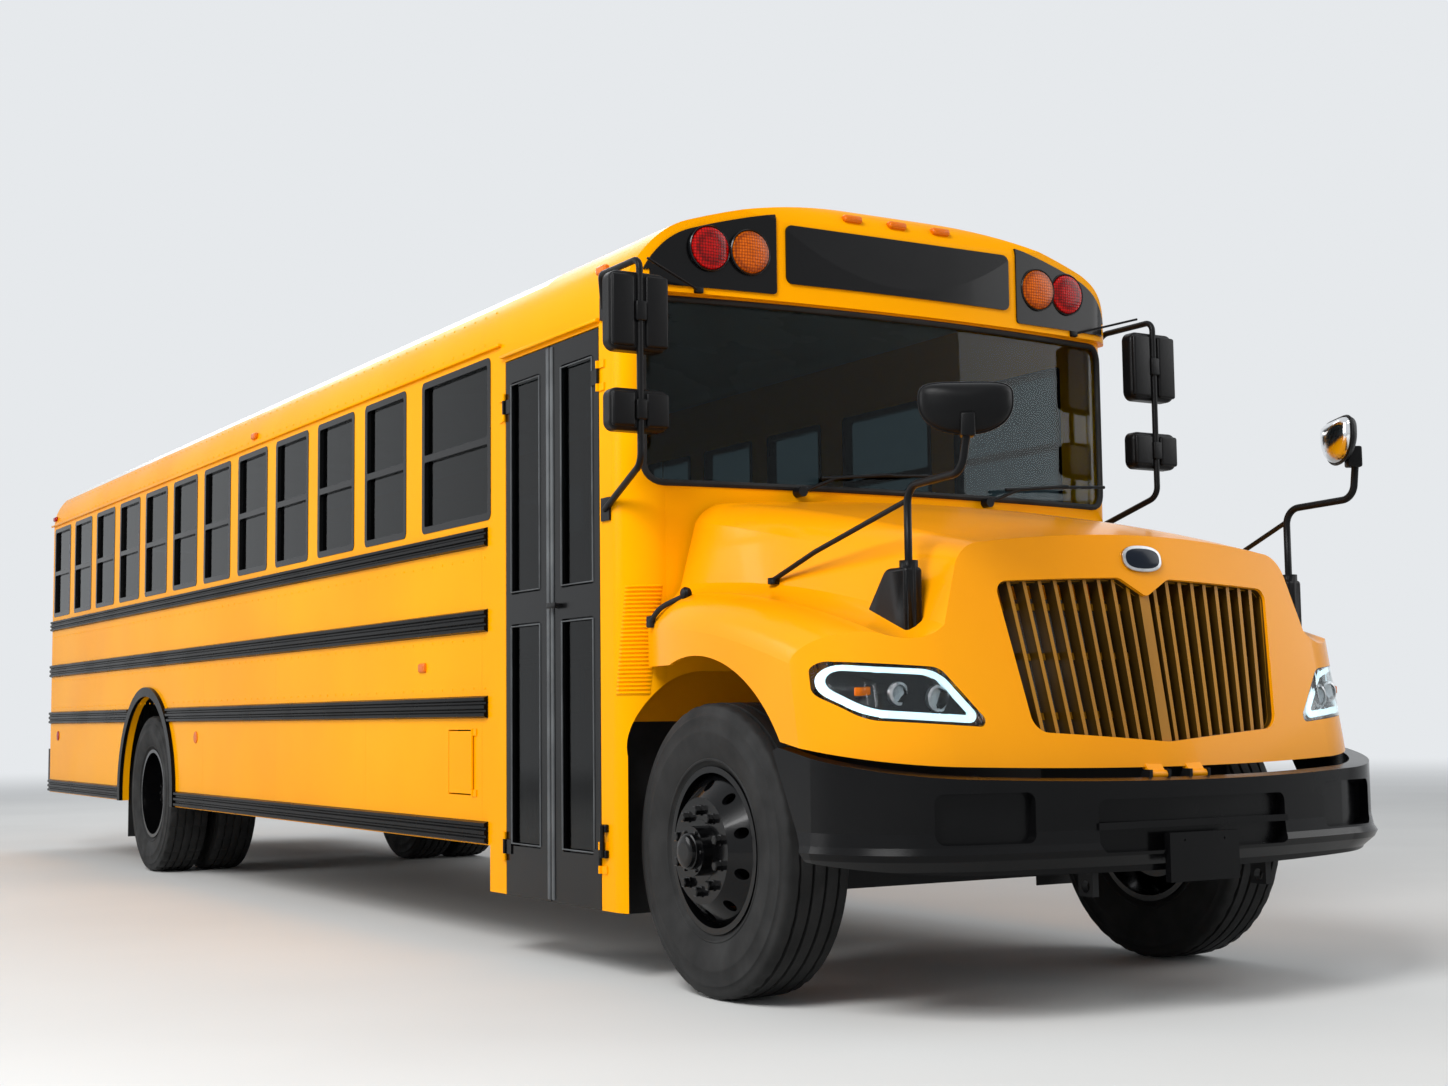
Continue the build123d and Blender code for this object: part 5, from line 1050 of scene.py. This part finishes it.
def rivets():
    """Rows of small domed rivets along the rails, the belt and the eaves."""
    dome = turned([(0, 0.006), (0.0015, 0.0055), (0.003, 0.003)], (0, 0, 0), "X", 8)
    count = int((BODY_REAR - RIVET_START - 0.05) / RIVET_PITCH)
    for side, word in SIDES:
        pieces = []
        for z in RIVET_ROWS:
            x = HALF
            if z > EAVE_Z:
                x = HALF - EAVE_RADIUS + EAVE_RADIUS * cos(asin((z - EAVE_Z) / EAVE_RADIUS))
            for number in range(count):
                y = at(RIVET_START + number * RIVET_PITCH)
                place = Matrix.Translation((side * (x - RIVET_SINK), y, z))
                if side < 0:
                    place = place @ Matrix.Rotation(pi, 4, "Z")
                pieces.append(copied(dome, place))
        finished(joined(pieces), f"rivets_{word}", "bus_body", "body_paint", YELLOW)
    bpy.data.objects.remove(dome)


# Mirrors

POST_TOP = Vector((0.885, -1.190, 1.868))
HEAD_CUT_Z = 1.875
HEAD_Z = 1.988
HEAD_HALF = 0.149
HEAD_ABOVE = 0.058
HEAD_BELOW = 0.104
HEAD_POWER_ABOVE = 4.5
HEAD_POWER_BELOW = 2.2
HOUSING_DEPTH = 0.050
MIRROR_BULGE = 0.044
MIRROR_SHARE = 0.965
LUG_TOP = 1.945
RIM_POINTS = 60
CROSS_VIEW_HEADS = (
    # side, word, x, y, turn
    (1, "left", 0.845, -1.147, radians(-30)),
    (-1, "right", -0.864, -1.156, radians(239)),
)


def mirror_posts():
    """The posts, braces and shoes as the CAD has them, cut free of their plain heads."""
    posts = cad_copy("cross_view_mirrors", 0.00005)
    for polygon in posts.data.polygons:
        polygon.select = polygon.center.z > HEAD_CUT_Z
    bpy.ops.object.mode_set(mode="EDIT")
    bpy.ops.mesh.delete(type="FACE")
    finished(posts, "cross_view_posts", "hood", "black_plastic", PLASTIC)
    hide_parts("cross_view_mirrors")


def head_place(along, up, share):
    """A point of the head's outline, flat above and round below, drawn in by a share."""
    power = HEAD_POWER_ABOVE if up > 0 else HEAD_POWER_BELOW
    across = (abs(along) ** power + abs(up) ** power) ** (1 / power)
    reach = share * hypot(along, up) / across if across > 1e-6 else 1
    height = HEAD_ABOVE if up > 0 else HEAD_BELOW
    return along * reach * HEAD_HALF, up * reach * height


def head_shell(depth, forward, share):
    """Half of a round form over the head's outline, closed by a flat face."""
    deselect()
    bpy.ops.mesh.primitive_uv_sphere_add(segments=48, ring_count=24, radius=1)
    piece = bpy.context.object
    for vertex in piece.data.vertices:
        x, y, z = vertex.co
        bulge = x if (x > 0) == forward or abs(x) < 0.02 else 0
        across, up = head_place(y, z, share)
        vertex.co = Vector((bulge * depth, across, up))
    return piece


def cross_view_heads():
    """Deep convex mirrors: a dark housing in front with a lug on its post, bright glass behind."""
    turns = [2 * pi * number / RIM_POINTS for number in range(RIM_POINTS)]
    outline = [head_place(cos(turn), sin(turn), 1.0) for turn in turns]
    for side, word, x, y, turn in CROSS_VIEW_HEADS:
        place = Matrix.Translation((x, at(y), HEAD_Z)) @ Matrix.Rotation(turn, 4, "Z")
        post = place.inverted() @ Vector((side * POST_TOP.x, at(POST_TOP.y), POST_TOP.z))
        housing = head_shell(HOUSING_DEPTH, True, 1.0)
        glass = head_shell(MIRROR_BULGE, False, MIRROR_SHARE)
        lug = rounded_block((post.x - 0.036, post.y - 0.023, post.z),
                            (post.x + 0.019, post.y + 0.023, LUG_TOP - HEAD_Z), 0.008, 3)
        rim = bar([(0, across, up) for across, up in outline], 0.005, closed=True, sides=2, order=2)
        for piece in (housing, glass, lug, rim):
            piece.data.transform(place)
        housing = joined([housing, lug, rim])
        finished(housing, f"cross_view_housing_{word}", "hood", "black_plastic", PLASTIC, 50)
        finished(glass, f"cross_view_glass_{word}", "hood", "spring_steel", CHROME, 50)


CORNER_HEADS = (
    # z of the middle, height
    (2.500, 0.270),
    (2.130, 0.130),
)
CORNER_HEAD_X = HALF + 0.060
HEAD_FACE_Y = 0.2505
PANE_Y = (0.309, 0.3125)
CLAMP_Y = 0.247
LOBE_SPREAD = 0.071
BRACE_TOP = (1.225, 0.285, 2.714)
BRACE_FOOT = (0.945, 0.386, 2.640)


def corner_mirror_glass():
    """Glass in the rear faces of the corner mirrors, their front lobes, clamps and braces."""
    for side, word in reversed(SIDES):
        x = side * CORNER_HEAD_X
        panes = []
        clamps = []
        lobes = []
        for z, height in CORNER_HEADS:
            panes.append(rounded_block((x - 0.112, at(PANE_Y[0]), z - height / 2),
                                       (x + 0.112, at(PANE_Y[1]), z + height / 2), 0.0015))
            clamps.append(block_about((x, at(CLAMP_Y), z), (0.022, 0.015, 0.038), 0.006, 3))
            for across in (-LOBE_SPREAD, LOBE_SPREAD):
                middle = (x + across, at(HEAD_FACE_Y), z)
                lobes.append(block_about(middle, (0.048, 0.012, height / 2), 0.011, 4))
        finished(joined(panes), f"corner_mirror_glass_{word}", "bus_body", "spring_steel", CHROME)
        finished(joined(clamps + lobes), f"corner_mirror_clamps_{word}", "bus_body", "black_plastic", PLASTIC)
        top = (side * BRACE_TOP[0], at(BRACE_TOP[1]), BRACE_TOP[2])
        foot = (side * BRACE_FOOT[0], at(BRACE_FOOT[1]), BRACE_FOOT[2])
        brace = bar([top, foot], 0.005, sides=2, order=2)
        pad = rounded_block((foot[0] - 0.018, foot[1] - 0.010, foot[2] - 0.012),
                            (foot[0] + 0.018, foot[1] + 0.012, foot[2] + 0.012))
        finished(joined([brace, pad]), f"corner_mirror_brace_{word}", "bus_body", "black_plastic", PLASTIC)


# Seats

LEG_TUBE = 0.014
CUSHION_CROWN = 0.12
CUSHION_CHANNELS = 3
BACK_CROWN = 0.05
BACK_HALF = 0.034
BACK_FOOT = 0.036
BACK_LEAN = 0.088
BACK_TAPER = 0.25


def cushion(low, high, crown, channels):
    """A stuffed form: crowned top, sides drawn in between the corners and sewn channels."""
    size = [b - a for a, b in zip(low, high)]
    middle = [(a + b) / 2 for a, b in zip(low, high)]
    deselect()
    bpy.ops.mesh.primitive_cube_add(size=1)
    piece = bpy.context.object
    bpy.ops.object.mode_set(mode="EDIT")
    bpy.ops.mesh.select_all(action="SELECT")
    bpy.ops.mesh.subdivide(number_cuts=11)
    bpy.ops.object.mode_set(mode="OBJECT")
    for vertex in piece.data.vertices:
        x, y, z = vertex.co * 2
        pull = 1 - 0.03 * (1 - x * x) if abs(y) > 0.99 else 1
        top = z if z < 0.99 else 1 - crown * (x ** 4 + y ** 4) / 2
        groove = 0.0
        if z > 0.99 and channels:
            groove = 0.10 * max(0, 1 - abs(((x + 1) * channels / 2) % 1 - 0.5) * 12)
        rounding = 1 - (0.05 * x ** 8 + 0.03 * y ** 8) * z ** 8
        vertex.co = Vector((middle[0] + x * rounding * size[0] / 2,
                            middle[1] + y * pull * rounding * size[1] / 2,
                            middle[2] + (top - groove) * size[2] / 2))
    return piece


def islands(name):
    """The separate solids of a CAD node, as boxes of (low, high)."""
    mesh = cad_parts[name].data
    parent = list(range(len(mesh.vertices)))

    def root(index):
        """The first vertex of the solid that a vertex belongs to."""
        while parent[index] != index:
            parent[index] = parent[parent[index]]
            index = parent[index]
        return index
    seen = {}
    for vertex in mesh.vertices:
        key = tuple(round(c, 5) for c in vertex.co)
        if key in seen:
            parent[root(vertex.index)] = root(seen[key])
        else:
            seen[key] = vertex.index
    for polygon in mesh.polygons:
        first = root(polygon.vertices[0])
        for index in polygon.vertices[1:]:
            parent[root(index)] = first
    boxes = {}
    for vertex in mesh.vertices:
        key = root(vertex.index)
        low, high = boxes.get(key, (vertex.co.copy(), vertex.co.copy()))
        boxes[key] = (Vector(map(min, low, vertex.co)), Vector(map(max, high, vertex.co)))
    return sorted(boxes.values(), key=lambda pair: (round(pair[0].y, 3), pair[0].x))


def bench_back(low, high):
    """A tall padded back that leans rearward and thins towards its top."""
    back = cushion((low.x + 0.002, -BACK_HALF, low.z), (high.x - 0.002, BACK_HALF, high.z), BACK_CROWN, 0)
    for vertex in back.data.vertices:
        share = (vertex.co.z - low.z) / (high.z - low.z)
        vertex.co.y = low.y + BACK_FOOT + vertex.co.y * (1 - BACK_TAPER * share) + BACK_LEAN * share
    return back


def seats():
    """Vinyl cushions on bent legs, and tall padded backs."""
    cushions = []
    for low, high in islands("seat_cushions"):
        cushions.append(cushion((low.x + 0.002, low.y + 0.002, low.z + 0.002),
                                (high.x - 0.002, high.y - 0.004, high.z), CUSHION_CROWN, CUSHION_CHANNELS))
    piece = finished(joined(cushions), "bench_cushions", "bus_body", "seat_vinyl", VINYL, 60)
    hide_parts("seat_cushions")
    legs = []
    for low, high in islands("seat_legs"):
        x = (low.x + high.x) / 2
        y0, y1 = low.y + LEG_TUBE, high.y - LEG_TUBE
        z0, z1 = low.z + 0.001, high.z - LEG_TUBE
        legs.append(bar([(x, y0, z0), (x, y0, z1), (x, y1, z1), (x, y1, z0)], LEG_TUBE, sides=2, order=2))
    piece = finished(joined(legs), "bench_legs", "bus_body", "chassis_black", CHASSIS)
    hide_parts("seat_legs")
    backs = [bench_back(low, high) for low, high in islands("seat_backs")]
    piece = finished(joined(backs), "bench_backs", "bus_body", "seat_vinyl", VINYL, 60)
    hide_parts("seat_backs")


# Light, floor and camera

CAMERA_PLACE = (-4.694, -6.046, 0.995)
CAMERA_YAW = radians(30.9)
CAMERA_PITCH = radians(5.08)
CAMERA_ROLL = radians(-0.68)
IMAGE_WIDTH = 1448
FOCAL_PIXELS = 1953.9
SENSOR = 36


def camera():
    """The photo's camera: low on the curb side, looking back along the bus."""
    level = Vector((sin(CAMERA_YAW), cos(CAMERA_YAW), 0))
    ahead = level * cos(CAMERA_PITCH) + Vector((0, 0, sin(CAMERA_PITCH)))
    flat_right = Vector((cos(CAMERA_YAW), -sin(CAMERA_YAW), 0))
    flat_up = flat_right.cross(ahead)
    right = flat_right * cos(CAMERA_ROLL) + flat_up * sin(CAMERA_ROLL)
    up = flat_up * cos(CAMERA_ROLL) - flat_right * sin(CAMERA_ROLL)
    data = bpy.data.cameras.new("camera")
    data.sensor_width = SENSOR
    data.lens = SENSOR * FOCAL_PIXELS / IMAGE_WIDTH
    data.clip_end = 500
    eye = in_scene("camera", data)
    x, y, z = CAMERA_PLACE
    turn = Matrix((right, up, -ahead)).transposed().to_4x4()
    eye.matrix_world = Matrix.Translation((x, at(y), z)) @ turn
    bpy.context.scene.camera = eye


LIGHTS = (
    # name, place, size across, power, where it points
    ("key", (-9.0, -9.0, 9.5), 5.0, 1450, (-0.5, -2.0, 1.2)),
    ("fill", (11.0, -10.0, 7.0), 8.0, 500, (0.5, -1.0, 1.2)),
    ("back", (4.0, 13.0, 9.0), 8.0, 420, (0.0, 2.0, 1.5)),
    ("side", (-12.0, 4.0, 6.0), 7.0, 620, (-0.5, 1.5, 1.2)),
)
BACKDROP = "#E6E9EC"
SKY_LIGHT = "#E9EEF4"
SKY_STRENGTH = 0.42
FLOOR_RADIUS = 90
HAZE_START = 9.0
HAZE_END = 34.0


def lights():
    """Large soft lamps round the bus."""
    for name, place, size, power, aim in LIGHTS:
        data = bpy.data.lights.new(name, "AREA")
        data.size = size
        data.energy = power
        lamp = in_scene(name, data)
        lamp.location = place
        lamp.rotation_euler = (Vector(aim) - Vector(place)).to_track_quat("-Z", "Y").to_euler()


def sky():
    """A pale sky that the camera, gloss and glass see, and that lights the rest less."""
    world = bpy.data.worlds.new("studio")
    bpy.context.scene.world = world
    world.use_nodes = True
    tree = world.node_tree
    tree.nodes.clear()
    rays = add(tree, "ShaderNodeLightPath").outputs
    seen = reckon(tree, "MAXIMUM", {0: rays["Is Camera Ray"], 1: rays["Is Glossy Ray"]})
    seen = reckon(tree, "MAXIMUM", {0: seen, 1: rays["Is Transmission Ray"]})
    shown = add(tree, "ShaderNodeBackground", values={"Color": linear(BACKDROP), "Strength": 1.0})
    light = add(tree, "ShaderNodeBackground", values={"Color": linear(SKY_LIGHT), "Strength": SKY_STRENGTH})
    mix = add(tree, "ShaderNodeMixShader", {0: seen, 1: light.outputs[0], 2: shown.outputs[0]})
    out = add(tree, "ShaderNodeOutputWorld")
    tree.links.new(mix.outputs[0], out.inputs["Surface"])


def pale_floor():
    """A pale floor that fades into the backdrop far away."""
    deselect()
    bpy.ops.mesh.primitive_circle_add(vertices=96, radius=FLOOR_RADIUS, fill_type="NGON", location=(0, 0, 0))
    floor = bpy.context.object
    floor.name = "floor"
    made, tree, shader, place = begin("pale_floor", Roughness=0.75)
    mottle(tree, place, shader, "#DDDDDB", "#D6D6D4", size=3.0)
    reach = add(tree, "ShaderNodeVectorMath", {0: place}, operation="LENGTH")
    share = add(tree, "ShaderNodeMapRange", {"Value": reach.outputs["Value"]},
                {"From Min": HAZE_START, "From Max": HAZE_END}, interpolation_type="SMOOTHSTEP")
    haze = add(tree, "ShaderNodeEmission", values={"Color": linear(BACKDROP), "Strength": 1.0})
    blend = add(tree, "ShaderNodeMixShader",
                {0: share.outputs["Result"], 1: shader.outputs[0], 2: haze.outputs[0]})
    out = [node for node in tree.nodes if node.type == "OUTPUT_MATERIAL"][0]
    tree.links.new(blend.outputs[0], out.inputs["Surface"])
    floor.data.materials.append(made)


def main():
    """The whole scene, from the camera to the floor."""
    camera()
    paint_nodes()
    tyres()
    wheel_fittings()
    warning_lamps()
    marker_lamps()
    headlamps()
    vents()
    screen_seal()
    drip_rails()
    badge()
    hood_latches()
    door_trim()
    rivets()
    mirror_posts()
    cross_view_heads()
    corner_mirror_glass()
    seats()
    lights()
    sky()
    pale_floor()
    bpy.context.scene.view_settings.view_transform = "Standard"


main()
